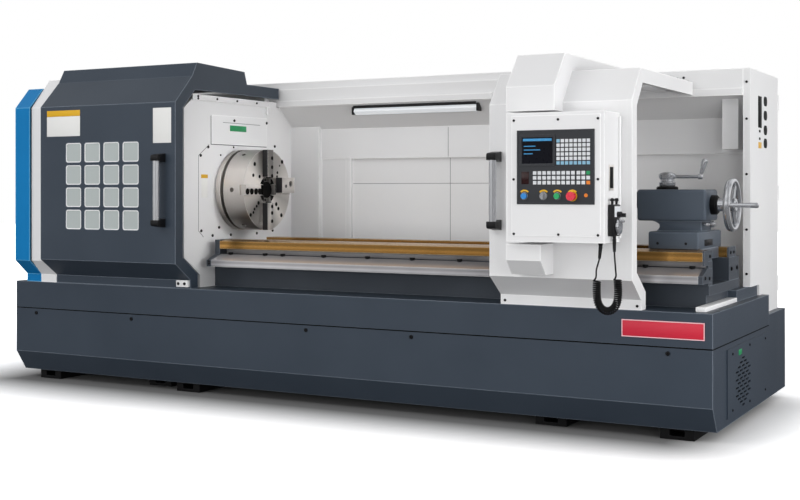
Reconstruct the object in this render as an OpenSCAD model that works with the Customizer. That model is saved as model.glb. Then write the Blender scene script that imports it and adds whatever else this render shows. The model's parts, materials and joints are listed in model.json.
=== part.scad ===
// Flat-bed turning lathe with sliding doors, chuck, tailstock, carriage and a hand pendant.
// Millimetres, +Z up. Sizes are written from the middle of the base length, its front face
// and the floor, then the whole part is shifted so its origin is the middle of its footprint.

/* [Base] */
// Length of the base
base_len = 4500; // [4300:10:5200]
// Depth of the base, front to back
base_depth = 1222; // [1200:2:1400]
// Height of the deck above the floor
base_top = 630; // [600:5:700]
// Height of the seam between base and deck
base_seam = 460; // [400:5:520]
// Height where the front face starts to lean in
lean_top = 180; // [120:5:260]
// How far the front face leans in at its foot
lean_in = 80; // [40:5:120]
// Wall of the base weldments
base_wall = 12; // [8:1:20]
// Depth of the rear block behind the base
rear_depth = 443; // [380:1:600]
// Height of the top of the rear block
rear_top = 520; // [480:5:560]
// Length of the rear block
rear_len = 1150; // [1100:10:1300]
// Height of a levelling foot
foot_h = 56; // [40:2:90]
// Width of a levelling foot
foot_w = 170; // [120:5:220]
// Length of a levelling foot
foot_len = 260; // [160:10:400]
// Width of the slot in a levelling foot
foot_slot = 76; // [40:2:100]
// Distance from the end of the base to the middle of the end feet
foot_end = 200; // [150:5:300]
// Distance from the base front to the front feet
foot_set = 100; // [90:5:160]
// Height of the vent panel
vent_h = 340; // [280:5:345]
// Length of the vent panel
vent_len = 960; // [700:10:980]
// Radius of the round field of vent slots
vent_r = 125; // [80:5:130]
// Height of one vent slot
vent_slot = 10; // [7:1:16]

/* [Bed] */
// Distance from the base front to the bed
bed_front = 265; // [250:1:300]
// Distance from the bed to the rear of the base
bed_back = 328; // [317:1:400]
// Height of the top of the bed
bed_top = 861; // [850:1:880]
// Distance from the left end of the base to the bed
bed_in = 400; // [360:5:450]
// Distance from the bed to the right end of the base
bed_out = 100; // [85:1:130]
// Distance from the left end of the base to the rails
rail_in = 1480; // [1460:2:1550]
// Width of one rail
rail_w = 150; // [120:1:170]
// Height of one rail
rail_h = 54; // [40:1:60]
// How far the front rail hangs over the bed
rail_over = 72; // [50:1:80]
// Depth of the bevel on the outer rail edge
rail_bevel = 50; // [20:1:60]
// Height of the bevel on the outer rail edge
rail_bevel_h = 8; // [4:1:12]
// Depth of the feed screw cover
cover_depth = 156; // [140:1:170]
// Height of the underside of the screw cover
cover_bottom = 758; // [740:1:762]
// Height of the front face of the screw cover
cover_face = 38; // [30:1:44]
// Depth of the sloping top of the screw cover
cover_slope = 94; // [80:1:96]
// Rise of the sloping top of the screw cover
cover_rise = 33; // [24:1:34]
// Length of the bed end cap
cap_len = 35; // [20:1:50]
// Radius of the feed screw
screw_r = 18; // [12:1:19]

/* [Headstock] */
// How far the spindle axis lies in front of the middle of the bed
spin_off = 66.5; // [60:0.5:72]
// Height of the spindle axis
spin_z = 1215; // [1205:1:1225]
// Radius of the chuck
chuck_r = 250; // [200:1:255]
// Distance from the left end of the base to the chuck face
chuck_in = 1603; // [1590:1:1610]
// Thickness of the chuck body
chuck_len = 150; // [120:1:156]
// Width of the groove behind the chuck body
groove_len = 24; // [14:1:26]
// Depth of that groove
groove_in = 24; // [10:1:40]
// Thickness of the chuck back plate
plate_len = 34; // [30:1:36]
// Radius of the hole through chuck and spindle
bore_r = 52; // [40:1:58]
// Width of a chuck jaw
jaw_w = 62; // [40:1:80]
// Depth of a jaw slot in the chuck face
jaw_slot = 30; // [20:1:40]
// How far a jaw stands out of the chuck face
jaw_out = 10; // [4:1:16]
// Thickness of the tall top jaw
top_jaw = 58; // [40:1:80]
// Jaw travel each way
jaw_move = 15; // [5:1:18]
// Radius of the spindle
spin_r = 70; // [64:1:78]
// Radius of the spindle bearings
bear_r = 110; // [96:1:120]
// Width of a spindle bearing
bear_w = 60; // [40:1:80]
// Radius of the spindle pulley
pulley_r = 150; // [120:1:160]
// Radius of the motor pulley
motor_pulley_r = 90; // [70:1:100]
// Width of the belt
belt_w = 50; // [30:1:56]
// Thickness of the belt
belt_t = 12; // [6:1:14]
// Radius of the motor
motor_r = 118; // [90:1:120]
// Length of the motor
motor_len = 460; // [360:5:520]
// Distance from the left end of the base to the face of the headstock cover
head_in = 1390; // [1386:1:1391]
// Height of the roof of the headstock cover
head_roof = 1788; // [1770:1:1792]
// Sheet thickness of all covers
sheet = 6; // [4:1:8]

/* [Left covers] */
// Distance from the left end of the base to the blue end cover
end_in = 93; // [50:1:130]
// Distance from the left end of the base to the white hood
hood_in = 216; // [190:1:250]
// Distance from the left end of the base to the right end of the white hood
hood_end = 345; // [335:1:346]
// Front of the blue end cover
end_front = -100; // [-130:1:-60]
// Front of the white hood
hood_front = -83; // [-110:1:-50]
// Height of the roof of the blue end cover
end_roof = 1861; // [1800:1:1900]
// Height of the roof of the white hood
hood_roof = 1917; // [1880:1:1950]

/* [Doors] */
// Front of both doors
door_front = -138; // [-160:1:-110]
// Depth of the return at the door ends
door_return = 70; // [50:1:74]
// Length of that return along the bed
door_return_t = 24; // [10:1:30]
// Distance from the left end of the base to the windowed door
left_in = 348; // [347:1:370]
// Length of the windowed door
left_len = 1061; // [1020:1:1070]
// Height where the windowed door starts to slant back
left_slant = 1728; // [1690:1:1740]
// Height of the roof of the windowed door
left_roof = 1880; // [1868:1:1890]
// Height of the hump on the windowed door
left_hump = 1974; // [1930:1:1990]
// Distance from the left end of the control door to the right end of the base
right_in = 1090; // [1060:1:1100]
// Length of the control door
right_len = 742; // [735:1:760]
// Height where the control door starts to slant back
right_slant = 1643; // [1630:1:1660]
// Height of the roof of the control door
right_roof = 1807; // [1800:1:1815]
// Gap between both door roofs and the top beam
roof_gap = 22; // [20:1:38]
// Window width
win_w = 122; // [90:1:130]
// Window height
win_h = 118; // [90:1:122]
// Window spacing along the bed
win_px = 150.7; // [135:0.1:155]
// Window spacing in height
win_pz = 136; // [126:0.1:145]
// Radius of the window corners
win_r = 14; // [6:1:30]
// Bottom of the lowest window row
win_z = 975; // [940:1:1000]
// Height of the grip of the windowed door
left_grip = 433; // [300:1:480]
// Height of the grip of the control door
right_grip = 394; // [300:1:440]
// Radius of the grip tube
grip_r = 14; // [10:1:18]
// Distance from the door to the grip tube
grip_gap = 44; // [36:1:60]

/* [Control box] */
// Distance from the left end of the control door to the control box
box_in = 185; // [180:1:200]
// Width of the control box
box_w = 494; // [480:1:510]
// Depth of the control box
box_d = 214; // [190:1:230]
// Bottom of the control box
box_z = 967; // [965:1:980]
// Height of the control box
box_h = 615; // [600:1:620]
// Width of the control panel
panel_w = 389; // [380:1:400]
// Height of the control panel
panel_h = 352; // [340:1:360]
// Thickness of the control panel
panel_t = 8; // [6:1:12]
// Radius of the push buttons
button_r = 14; // [10:1:16]
// Travel of the push buttons
button_move = 4; // [2:0.5:5]
// Radius of the emergency stop
stop_r = 21; // [16:1:24]
// Travel of the emergency stop
stop_move = 6; // [3:0.5:7]
// Width of the screen
screen_w = 156; // [120:1:170]
// Height of the screen
screen_h = 124; // [90:1:130]
// Width of the cable housing
duct_w = 252; // [200:1:270]
// Front of the cable housing
duct_front = -250; // [-280:1:-220]
// Height of the top of the cable housing
duct_top = 1887; // [1860:1:1900]
// Width of the console under the control box
console_w = 180; // [150:1:200]
// Front of the console
console_front = -300; // [-320:1:-260]

/* [Pendant and cord] */
// Thickness of the pendant
pend_t = 31; // [24:1:36]
// Width of the pendant
pend_w = 100; // [84:1:110]
// Height of the pendant
pend_h = 148; // [130:1:150]
// Height of the pendant above the bottom of the control box
pend_up = 31; // [23:1:43]
// Radius of the pendant wheel
pend_wheel = 38; // [26:1:40]
// Radius of the cord
cord_r = 4.2; // [3:0.1:5]
// Outer radius of the curly stretch
coil_r = 15; // [12:0.5:18]

/* [Rear] */
// Distance from the front of the top beam to the rear of the base
beam_in = 274; // [262:1:276]
// Underside of the top beam
beam_bottom = 1761; // [1760:1:1766]
// Top of the beam
beam_top = 1875; // [1860:1:1890]
// Top of the lip that carries the windowed door
left_lip = 1797; // [1794:1:1800]
// Top of the lip that carries the control door
right_lip = 1767; // [1764:1:1770]
// Underside of that right lip
right_lip_low = 1728; // [1720:1:1735]
// How far the lips stand out of the beam
lip_out = 16; // [10:1:17]
// Distance from the joint of the two lips to the right end of the base
lip_in = 1560; // [1555:1:1565]
// Distance from the rear wall to the rear of the base
wall_in = 62; // [57:1:72]
// Height of the step in the rear wall
wall_step = 1420; // [1380:1:1450]
// Distance from the cabinet to the right end of the base
cab_in = 39; // [10:1:45]
// Length of the cabinet
cab_len = 1061; // [1000:1:1090]
// Thickness of the cabinet wall
cab_wall = 8; // [6:1:10]
// Thickness of the cabinet door
cab_door_t = 20; // [14:1:26]

/* [Carriage and tailstock] */
// Distance from the left end of the saddle to the right end of the base
saddle_in = 1210; // [1200:1:1215]
// Length of the saddle
saddle_len = 400; // [380:1:405]
// Thickness of the saddle
saddle_t = 72; // [60:1:75]
// Side of the tool post
post_w = 120; // [100:1:124]
// How far a tool reaches out of the tool post
tool_out = 40; // [20:1:42]
// Radius of the quill barrel
barrel_r = 68; // [60:1:70]
// Radius of the quill
quill_r = 45; // [36:1:48]
// Height of the handwheel axis
wheel_z = 1138; // [1134:1:1142]
// Radius of the handwheel
wheel_r = 136; // [110:1:142]
// Distance from the left end of the tailstock base to the right end of the base
tail_in = 402; // [390:1:404]
// Length of the tailstock base
tail_len = 257; // [240:1:262]

/* [Hidden] */
$fn = 64;
fine = 32;
slide = 0.3;
run = 0.05;
eps = 0.5;
// Ends of the base
bx0 = -base_len / 2;
bx1 = base_len / 2;
rear_y = base_depth + rear_depth;
// Places along the bed, from the ends of the base
bed_left = bx0 + bed_in;
bed_right = bx1 - bed_out;
rail_left = bx0 + rail_in;
chuck_face = bx0 + chuck_in;
head_face = bx0 + head_in;
end_left = bx0 + end_in;
hood_left = bx0 + hood_in;
hood_right = bx0 + hood_end;
left_x = bx0 + left_in;
right_x = bx1 - right_in;
box_x = right_x + box_in;
lip_split = bx1 - lip_in;
cab_right = bx1 - cab_in;
saddle_x = bx1 - saddle_in;
tail_x = bx1 - tail_in;
wheel_x_gap = 369;
wheel_x = tail_x + wheel_x_gap;
// Places in depth, from the front and the rear of the base
bed_rear = base_depth - bed_back;
spin_y = (bed_front + bed_rear) / 2 - spin_off;
beam_front = base_depth - beam_in;
roof_rear = beam_front - roof_gap;
wall_y = base_depth - wall_in;
// Frame of the finished part: ends of its bounding box
crank_x_gap = 160;
crank_x = wheel_x + crank_x_gap;
stop_head = 22;
stop_lift = 8;
panel_y = door_front - box_d;
face_y = panel_y - panel_t;
y_min = face_y - stop_lift - stop_head;
mid_x = (bx0 + crank_x) / 2;
hinge_r = 7;
mid_y = (y_min + rear_y + hinge_r) / 2;
// Bed and rails
rail_top = bed_top + rail_h;
rail_f = bed_front - rail_over;
rail_b = 2 * spin_y - rail_f;
bed_slot_f = rail_f + rail_w;
bed_slot_b = rail_b - rail_w;
bed_floor = 740;
end_len = 24;
rail_cap = 8;
foot_mid = 1314;
foot_near = 1018;
foot_far = 874;
vent_long = 62;
vent_gap = 24;
vent_wide = 1.35;
// Feed screw and its cover
cover_front = bed_front - cover_depth;
cover_t = 4;
cover_end_y = cover_front + cover_slope;
cover_top = cover_bottom + cover_face + cover_rise;
screw_y_gap = 37;
screw_y = bed_front - screw_y_gap;
screw_z_gap = 33;
screw_z = cover_bottom + screw_z_gap;
boss_in = 12;
boss_len = 40;
boss_half = 26;
// Headstock
chuck_x0 = chuck_face - chuck_len;
groove_x0 = chuck_x0 - groove_len;
plate_x0 = groove_x0 - plate_len;
head_x0_gap = 550;
head_x0 = bx0 + head_x0_gap;
head_x1_gap = 45;
head_x1 = head_face - head_x1_gap;
head_half = 240;
head_top = 1490;
spin_x0_gap = 290;
spin_x0 = bx0 + spin_x0_gap;
nose_r = 130;
nose_len = 28;
face_hole = 142;
pulley_x_gap = 325;
pulley_x = bx0 + pulley_x_gap;
flange_w = 5;
flange_h = 9;
motor_y_gap = 130;
motor_y = wall_y - motor_y_gap;
motor_z = 830;
motor_x0_gap = 470;
motor_x0 = bx0 + motor_x0_gap;
motor_pad = 90;
motor_shaft = 24;
rib_n = 6;
rib_out = 6;
head_front = -35;
head_skirt = 117;
head_skirt_h = 75;
head_low = 815;
head_rear = wall_y + sheet;
head_rear_top = 1755;
head_slant_z = 1700;
head_slant_y = 84;
// Doors
skirt_y = 2;
skirt_z = 680;
low_z = 783;
door_bottom = base_top + slide;
left_x1 = left_x + left_len;
right_x1 = right_x + right_len;
left_slant_y = 18;
right_slant_y = -8;
hump_f = 66;
hump_b = 544;
hump_end = 571;
door_t = 4;
win_x_gap = 211;
win_x = left_x + win_x_gap;
shoe_in = 90;
shoe_len = 60;
shoe_h = 44;
shoe_d = 40;
lip_front = beam_front - lip_out;
grip_left_x_gap = 99;
grip_left_x = left_x1 - grip_left_x_gap;
grip_right_x_gap = 40;
grip_right_x = right_x + grip_right_x_gap;
grip_left_z = 995;
grip_right_z = 1013;
grip_foot = 46;
grip_foot_h = 52;
// Control box
box_x1 = box_x + box_w;
box_t = 4;
panel_x_gap = 59;
panel_x = box_x + panel_x_gap;
panel_z_gap = 179;
panel_z = box_z + panel_z_gap;
button_z_gap = 39;
button_z = panel_z + button_z_gap;
button_x = [panel_x + 40, panel_x + 137, panel_x + 207, panel_x + 281];
stem_r = 8;
stem_hole = 13;
button_lift = 5;
bezel_t = 4;
screen_x_gap = 27;
screen_x = panel_x + screen_x_gap;
screen_z_gap = 193;
screen_z = panel_z + screen_z_gap;
screen_t = 3;
duct_x_gap = 45;
duct_x = box_x - duct_x_gap;
duct_low_gap = 16;
duct_low = box_z + box_h + duct_low_gap;
duct_slant = 1718;
duct_slant_y = -108;
console_x_gap = 23;
console_x = box_x - console_x_gap;
console_top_gap = 15;
console_top = box_z - console_top_gap;
console_face = 874;
console_low = 803;
console_slant_y = -235;
// Pendant
pend_z = box_z + pend_up;
pend_x = box_x1 + slide;
pend_y_gap = 43;
pend_y = panel_y + pend_y_gap;
pend_x1 = pend_x + pend_t;
pend_mid = pend_y + pend_w / 2;
pin_r = 6;
pin_h = 30;
knob_r = 13;
knob_len = 40;
wheel_t = 15;
shaft_r = 7;
shaft_in = 14;
// Cord: gland, hand-chosen round route and pendant end, in this machine's own coordinates
gland_h = 24;
gland_r = 13;
cord_y_gap = 72;
cord_y = panel_y + cord_y_gap;
cord_a = [box_x1 - 44, cord_y, box_z - gland_h];
cord_c = [pend_x + pend_t / 2, pend_mid, pend_z - gland_h];
function by_box(dx, dy, dz) = [box_x1 + dx, cord_y + dy, box_z + dz];
coil_a = by_box(-61, 0, -183);
coil_b = by_box(33, 4, -161);
lead_pts = [cord_a, cord_a + [-3, 0, -50], by_box(-58, 0, -127), coil_a];
coil_pts = [coil_a, by_box(-63, 0, -223), by_box(-61, 0, -262), by_box(-51, 0, -294),
  by_box(-33, 1, -313), by_box(-9, 1, -319), by_box(14, 2, -310), by_box(31, 2, -288),
  by_box(39, 3, -257), by_box(40, 3, -215), coil_b];
tail_pts = [coil_b, by_box(28, 6, -107), cord_c + [2, -6, -55], cord_c];
// Rear
split_gap = 4;
wall_low_y_gap = 30;
wall_low_y = wall_y - wall_low_y_gap;
wall_bend = 1617;
wall_top_y = beam_front + sheet / 2;
lamp_x0_gap = 570;
lamp_x0 = head_face + lamp_x0_gap;
lamp_x1_gap = 862;
lamp_x1 = lamp_x0 + lamp_x1_gap;
lamp_d = 44;
lamp_h = 30;
cap_top = 1920;
cap_x1_gap = 1000;
cap_x1 = bx1 - cap_x1_gap;
cap_y_gap = 17;
cap_y = beam_front + cap_y_gap;
cab_x0 = cab_right - cab_len;
wing_t = 40;
wing_z = 690;
wing_x0 = cab_right - wing_t;
cab_rear = rear_y - cab_door_t;
hinge_x_gap = 3;
hinge_x = cab_right - hinge_x_gap;
hinge_len = 90;
hinge_z = [rear_top + 100, 1150, beam_top - 190];
latch_z = 1150;
latch_h = 140;
latch_in = 15;
duct_box = [bx1 - 206, bx1 - 120, 1440, 1738];
post_x = [head_face + 220, head_face + 410];
step_in = 30;
step_top = 1632;
fold_w = 36;
fold_d = 22;
// Carriage
saddle_z = rail_top + slide;
saddle_f_gap = 28;
saddle_f = rail_f - saddle_f_gap;
saddle_b_gap = 26;
saddle_b = rail_b + saddle_b_gap;
way_x0_gap = 90;
way_x0 = saddle_x + way_x0_gap;
way_w = 220;
way_h = 24;
way_gap = 40;
cross_z = saddle_z + saddle_t;
cross_t = 62;
post_c = [saddle_x + 200, 240];
post_z = 1106;
post_h = 124;
pivot_r = 20;
nut_half = 26;
nut_len = 120;
arm_f_gap = 9;
arm_f = cover_end_y + arm_f_gap;
arm_w = 33;
arm_low_gap = 25;
arm_low = bed_top - arm_low_gap;
arm_h = 20;
// Tailstock
tail_base_top = 1004;
tail_fore = 226;
tail_aft = 228;
body_lap = 92;
body_run = 265;
tail_f = spin_y - tail_fore;
tail_b = spin_y + tail_aft;
body_x0 = tail_x - body_lap;
body_x1 = tail_x + body_run;
link_low = 1120;
link_top = 1205;
link_half = 60;
wheel_in = 78;
body_half = 124;
body_low = 1056;
body_top = 1217;
neck_half = 96;
barrel_x0_gap = 408;
barrel_x0 = tail_x - barrel_x0_gap;
barrel_x1_gap = 188;
barrel_x1 = tail_x - barrel_x1_gap;
quill_x0_gap = 422;
quill_x0 = tail_x - quill_x0_gap;
quill_x1_gap = 208;
quill_x1 = tail_x - quill_x1_gap;
tip_x_gap = 502;
tip_x = tail_x - tip_x_gap;
shaft_wheel = 20;
bear_flange = 50;
flange_len = 34;
rim_r = 12;
hub_r = 34;
crank_r = 14;
rim_w = 36;
lever_x_gap = 33;
lever_x = tail_x + lever_x_gap;
lever_hub = 44;
lever_grip = 17;
lever_h = 90;
lever_r = 9;
lever_end_gap = 207;
lever_end = tail_x + lever_end_gap;
lever_tip = 95;
neck_x0_gap = 22;
neck_x0 = tail_x + neck_x0_gap;
neck_x1_gap = 20;
neck_x1 = tail_x + tail_len - neck_x1_gap;
neck_lap = 46;
neck_mid = 1036;
clamp_y_gap = 60;
clamp_y = spin_y - clamp_y_gap;
clamp_z = 1040;
clamp_len = 110;
clamp_in = 58;
clamp_out = 62;

base_frame();
base_deck();
levelling_feet();
vent_panel();
bed();
front_rail();
rear_rail();
screw_cover();
feed_screw();
headstock();
spindle_bearings();
main_motor();
drive_belt();
headstock_cover();
left_hood();
end_cover();
rear_wall();
top_beam();
work_lamp();
cabinet();
cabinet_door();
spindle();
chuck_plate();
chuck_body();
jaw_top();
jaw_rear();
jaw_bottom();
jaw_front();
motor_pulley();
left_door();
left_window();
left_handle();
left_shoes();
right_door();
right_handle();
right_shoes();
cable_housing();
control_box();
control_panel();
screen();
console_box();
blue_button();
mode_selector();
green_button();
emergency_stop();
pendant_body();
pendant_wheel();
pendant_selector();
cord_gland();
cord_lead();
cord_coil();
cord_tail();
saddle();
cross_slide();
tool_post();
tailstock();
quill();
tail_wheel();
quill_lever();
bed_lever();

// Shift from machine coordinates to the part's frame
module placed() {
  translate([-mid_x, -mid_y, 0]) children();
}

// Box between two corners
module box(x0, x1, y0, y1, z0, z1) {
  translate([x0, y0, z0]) cube([x1 - x0, y1 - y0, z1 - z0]);
}

// A profile drawn in depth and height, pushed along the bed
module along_x(x0, x1) {
  translate([x0, 0, 0]) rotate([90, 0, 90]) linear_extrude(x1 - x0) children();
}

// A profile drawn along the bed and in height, pushed from front to back
module along_y(y0, y1) {
  translate([0, y1, 0]) rotate([90, 0, 0]) linear_extrude(y1 - y0) children();
}

// Round bars along each axis
module rod_x(x0, x1, y, z, r) {
  translate([x0, y, z]) rotate([0, 90, 0]) cylinder(r = r, h = x1 - x0);
}

module rod_y(x, y0, y1, z, r) {
  translate([x, y0, z]) rotate([-90, 0, 0]) cylinder(r = r, h = y1 - y0);
}

module rod_z(x, y, z0, z1, r) {
  translate([x, y, z0]) cylinder(r = r, h = z1 - z0);
}

// Inner side of a folded sheet: each corner moved in by d
function unit(v) = v / norm(v);
function inward(a, b) = let (d = unit(b - a)) [d[1], -d[0]];
function inset(p, d) = [for (i = [0 : len(p) - 1])
  let (n0 = i > 0 ? inward(p[i - 1], p[i]) : inward(p[i], p[i + 1]),
    n1 = i < len(p) - 1 ? inward(p[i], p[i + 1]) : n0)
  p[i] + d * (n0 + n1) / (1 + n0 * n1)];
function turned(p) = [for (i = [len(p) - 1 : -1 : 0]) p[i]];
function strip(p, d) = concat(p, turned(inset(p, d)));

// Outline of a rectangle with round corners
function round_rect(x, y, w, h, r) = [for (k = [0 : 3])
  for (a = [0 : 15 : 90])
    let (cx = (k == 0 || k == 3) ? x + w - r : x + r, cy = k < 2 ? y + h - r : y + r)
    [cx + r * cos(a + 90 * k), cy + r * sin(a + 90 * k)]];

// Tube of plain rings along a hand-chosen route
function bend(p, i) = unit(p[min(i + 1, len(p) - 1)] - p[max(i - 1, 0)]);
function side(t) = unit(cross(t, [0, 1, 0]));
function ring(p, i, r, n) = let (t = bend(p, i), u = side(t), v = cross(t, u))
  [for (k = [0 : n - 1]) p[i] + r * (cos(360 * k / n) * u + sin(360 * k / n) * v)];

module tube(p, r, n) {
  m = len(p);
  polyhedron(
    points = [for (i = [0 : m - 1]) each ring(p, i, r, n)],
    faces = concat(
      [[for (k = [0 : n - 1]) k]],
      [for (i = [0 : m - 2]) for (k = [0 : n - 1])
        [i * n + k, (i + 1) * n + k, (i + 1) * n + (k + 1) % n, i * n + (k + 1) % n]],
      [[for (k = [n - 1 : -1 : 0]) (m - 1) * n + k]]));
}

// Base

module base_frame() {
  outer = [[lean_in, foot_h], [0, lean_top], [0, base_seam], [base_depth, base_seam],
    [base_depth, foot_h]];
  w = base_wall;
  inner = [[lean_in + w, foot_h + w], [w, lean_top], [w, base_seam + w],
    [base_depth - w, base_seam + w], [base_depth - w, foot_h + w]];
  vent_y = base_depth - vent_len;
  color([0.25, 0.28, 0.31]) placed() {
    difference() {
      union() {
        along_x(bx0, bx1) polygon(outer);
        box(bx1 - rear_len, bx1, base_depth - w, rear_y, foot_h, base_seam);
        box(bx1 - rear_len, bx1, base_depth, rear_y, base_seam - w, rear_top);
      }
      along_x(bx0 + w, bx1 - w) polygon(inner);
      box(bx1 - rear_len + w, bx1 - w, base_depth - 2 * w, rear_y - w, foot_h + w, base_seam - 2 * w);
      box(bx1 - 2 * w, bx1 + w, vent_y + 2 * w, base_depth - 3 * w, lean_top / 2 + 2 * w,
        lean_top / 2 + vent_h - 2 * w);
    }
  }
}

module base_deck() {
  w = base_wall;
  color([0.26, 0.29, 0.32]) placed() {
    difference() {
      box(bx0, bx1, 0, base_depth, base_seam, base_top);
      box(bx0 + w, bx1 - w, w, base_depth - w, base_seam - w, base_top - w);
    }
    box(bed_right, wing_x0 + wing_t - w, beam_front - 258, wall_y - slide, base_top, wing_z);
  }
}

module one_foot(x, y) {
  difference() {
    box(x - foot_w / 2, x + foot_w / 2, y, y + foot_len, 0, foot_h);
    box(x - foot_slot / 2, x + foot_slot / 2, y - eps, y + foot_len / 2, foot_h * 0.3, foot_h * 0.85);
  }
}

module levelling_feet() {
  ends = [bx0 + foot_end, bx1 - foot_end];
  back = base_depth - foot_set - foot_len;
  color([0.12, 0.12, 0.13]) placed() {
    for (x = ends) one_foot(x, foot_set);
    for (x = ends) one_foot(x, back);
    one_foot(bx0 + foot_mid, foot_set);
    one_foot(bx0 + foot_near, 2 * foot_set);
    one_foot(bx1 - foot_far, 1.5 * foot_set);
    one_foot(bx0 + foot_mid, back);
    one_foot(bx1 - foot_far, back);
    one_foot(bx1 - foot_end, rear_y - foot_set - foot_len);
  }
}

module vent_panel() {
  y0 = base_depth - vent_len;
  z0 = lean_top / 2;
  cy = y0 + vent_len * 0.34;
  cz = z0 + vent_h * 0.43;
  rows = floor(vent_r / (2 * vent_slot));
  step = vent_long + vent_gap;
  cols = ceil(vent_wide * vent_r / step);
  color([0.24, 0.27, 0.30]) placed() difference() {
    box(bx1, bx1 + sheet, y0, base_depth - base_wall, z0, z0 + vent_h);
    for (i = [-rows : rows]) {
      z = cz + 2 * vent_slot * i;
      half = vent_wide * sqrt(vent_r * vent_r - pow(2 * vent_slot * i, 2));
      shift = abs(i) % 2 == 0 ? 0 : 0.5;
      for (k = [-cols : cols]) {
        y = cy + (k + shift) * step;
        if (abs(y - cy) + vent_long / 2 < half + vent_gap) {
          box(bx1 - eps, bx1 + sheet + eps, y - vent_long / 2, y + vent_long / 2, z - vent_slot / 2,
            z + vent_slot / 2);
        }
      }
    }
  }
}

module bed() {
  cap = [[bed_front + eps, cover_bottom], [cover_front, cover_bottom],
    [cover_front, cover_bottom + cover_face], [rail_f, cover_top], [rail_f, rail_top],
    [bed_slot_f, rail_top], [bed_slot_f, bed_top - eps], [bed_front + eps, bed_top - eps]];
  end_cap = [[bed_front + end_len, cover_bottom], [cover_front, cover_bottom],
    [cover_front, cover_bottom + cover_face], [rail_f, cover_top], [bed_front + end_len, cover_top]];
  end_x = bed_right + end_len;
  rail_x = bed_right + rail_cap;
  color([0.24, 0.27, 0.30]) placed() difference() {
    union() {
      along_x(bed_left, bed_right) polygon([[bed_front, base_top], [bed_front, bed_top],
        [bed_slot_f, bed_top], [bed_slot_f, bed_floor], [bed_slot_b, bed_floor],
        [bed_slot_b, bed_top], [bed_rear, bed_top], [bed_rear, base_top]]);
      along_x(rail_left - cap_len, rail_left) polygon(cap);
      along_x(bed_right, end_x) polygon(end_cap);
      box(bed_right, rail_x, rail_f, bed_slot_f, bed_top - 20, rail_top);
      box(bed_right, rail_x, bed_slot_b, rail_b, bed_top - 20, rail_top);
      box(bed_right - eps, bed_right + 14, bed_front, bed_rear, wing_z + 2, bed_floor);
      box(bed_right - eps, bed_right + 10, bed_front, bed_slot_f, bed_floor - 1, bed_top);
      box(bed_right - eps, bed_right + 10, bed_slot_b, bed_rear, bed_floor - 1, bed_top);
      box(bed_right - boss_in - boss_len, bed_right - boss_in, screw_y - boss_half,
        bed_front + eps, screw_z - boss_half, screw_z + boss_half);
    }
    rod_x(rail_left - cap_len / 2, bed_right, screw_y, screw_z, screw_r + run);
  }
}

module front_rail() {
  color([0.61, 0.42, 0.16]) placed() along_x(rail_left, bed_right) polygon([[rail_f, bed_top],
    [rail_f, rail_top - rail_bevel_h], [rail_f + rail_bevel, rail_top],
    [rail_f + rail_w, rail_top], [rail_f + rail_w, bed_top]]);
}

module rear_rail() {
  color([0.61, 0.42, 0.16]) placed() along_x(rail_left, bed_right) polygon([[rail_b, bed_top],
    [rail_b, rail_top - rail_bevel_h], [rail_b - rail_bevel, rail_top],
    [rail_b - rail_w, rail_top], [rail_b - rail_w, bed_top]]);
}

module screw_cover() {
  path = [[bed_front, cover_bottom], [cover_front, cover_bottom],
    [cover_front, cover_bottom + cover_face], [cover_end_y, cover_top]];
  color([0.75, 0.76, 0.78]) placed() along_x(rail_left, bed_right) polygon(strip(path, cover_t));
}

module feed_screw() {
  color([0.7, 0.71, 0.73]) placed() rod_x(rail_left - cap_len / 2 + eps, bed_right - boss_in,
    screw_y, screw_z, screw_r);
}

// Headstock

module headstock() {
  color([0.3, 0.33, 0.36]) placed() difference() {
    union() {
      box(head_x0, head_x1, spin_y - head_half, spin_y + head_half, bed_top, head_top);
      for (i = [0 : rib_n - 1]) {
        box(head_x0 + 40 + i * 130, head_x0 + 60 + i * 130, spin_y - head_half, spin_y + head_half,
          head_top - eps, head_top + 30);
      }
    }
    rod_x(head_x0 - eps, head_x1 + eps, spin_y, spin_z, bear_r + run);
  }
}

module one_bearing(x) {
  difference() {
    rod_x(x, x + bear_w, spin_y, spin_z, bear_r);
    rod_x(x - eps, x + bear_w + eps, spin_y, spin_z, spin_r + run);
  }
}

module spindle_bearings() {
  color([0.8, 0.8, 0.82]) placed() {
    one_bearing(head_x0);
    one_bearing(head_x1 - bear_w);
  }
}

module spindle() {
  w = belt_w + 2 * flange_w;
  color([0.72, 0.73, 0.75]) placed() difference() {
    union() {
      rod_x(spin_x0, plate_x0, spin_y, spin_z, spin_r);
      rod_x(plate_x0 - nose_len, plate_x0, spin_y, spin_z, nose_r);
      rod_x(pulley_x, pulley_x + w, spin_y, spin_z, pulley_r);
      rod_x(pulley_x, pulley_x + flange_w - 1, spin_y, spin_z, pulley_r + flange_h);
      rod_x(pulley_x + w - flange_w + 1, pulley_x + w, spin_y, spin_z, pulley_r + flange_h);
    }
    rod_x(spin_x0 - eps, plate_x0 + eps, spin_y, spin_z, bore_r);
  }
}

module main_motor() {
  color([0.2, 0.24, 0.28]) placed() difference() {
    union() {
      rod_x(motor_x0, motor_x0 + motor_len, motor_y, motor_z, motor_r);
      box(motor_x0 + 60, motor_x0 + motor_len - 60, motor_y - motor_pad, motor_y + motor_pad,
        base_top, motor_z - motor_r / 2);
      for (i = [0 : rib_n - 1]) {
        rod_x(motor_x0 + 40 + i * 70, motor_x0 + 52 + i * 70, motor_y, motor_z, motor_r + rib_out);
      }
    }
    rod_x(motor_x0 - eps, motor_x0 + motor_len / 2, motor_y, motor_z, motor_shaft + run);
  }
}

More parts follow.
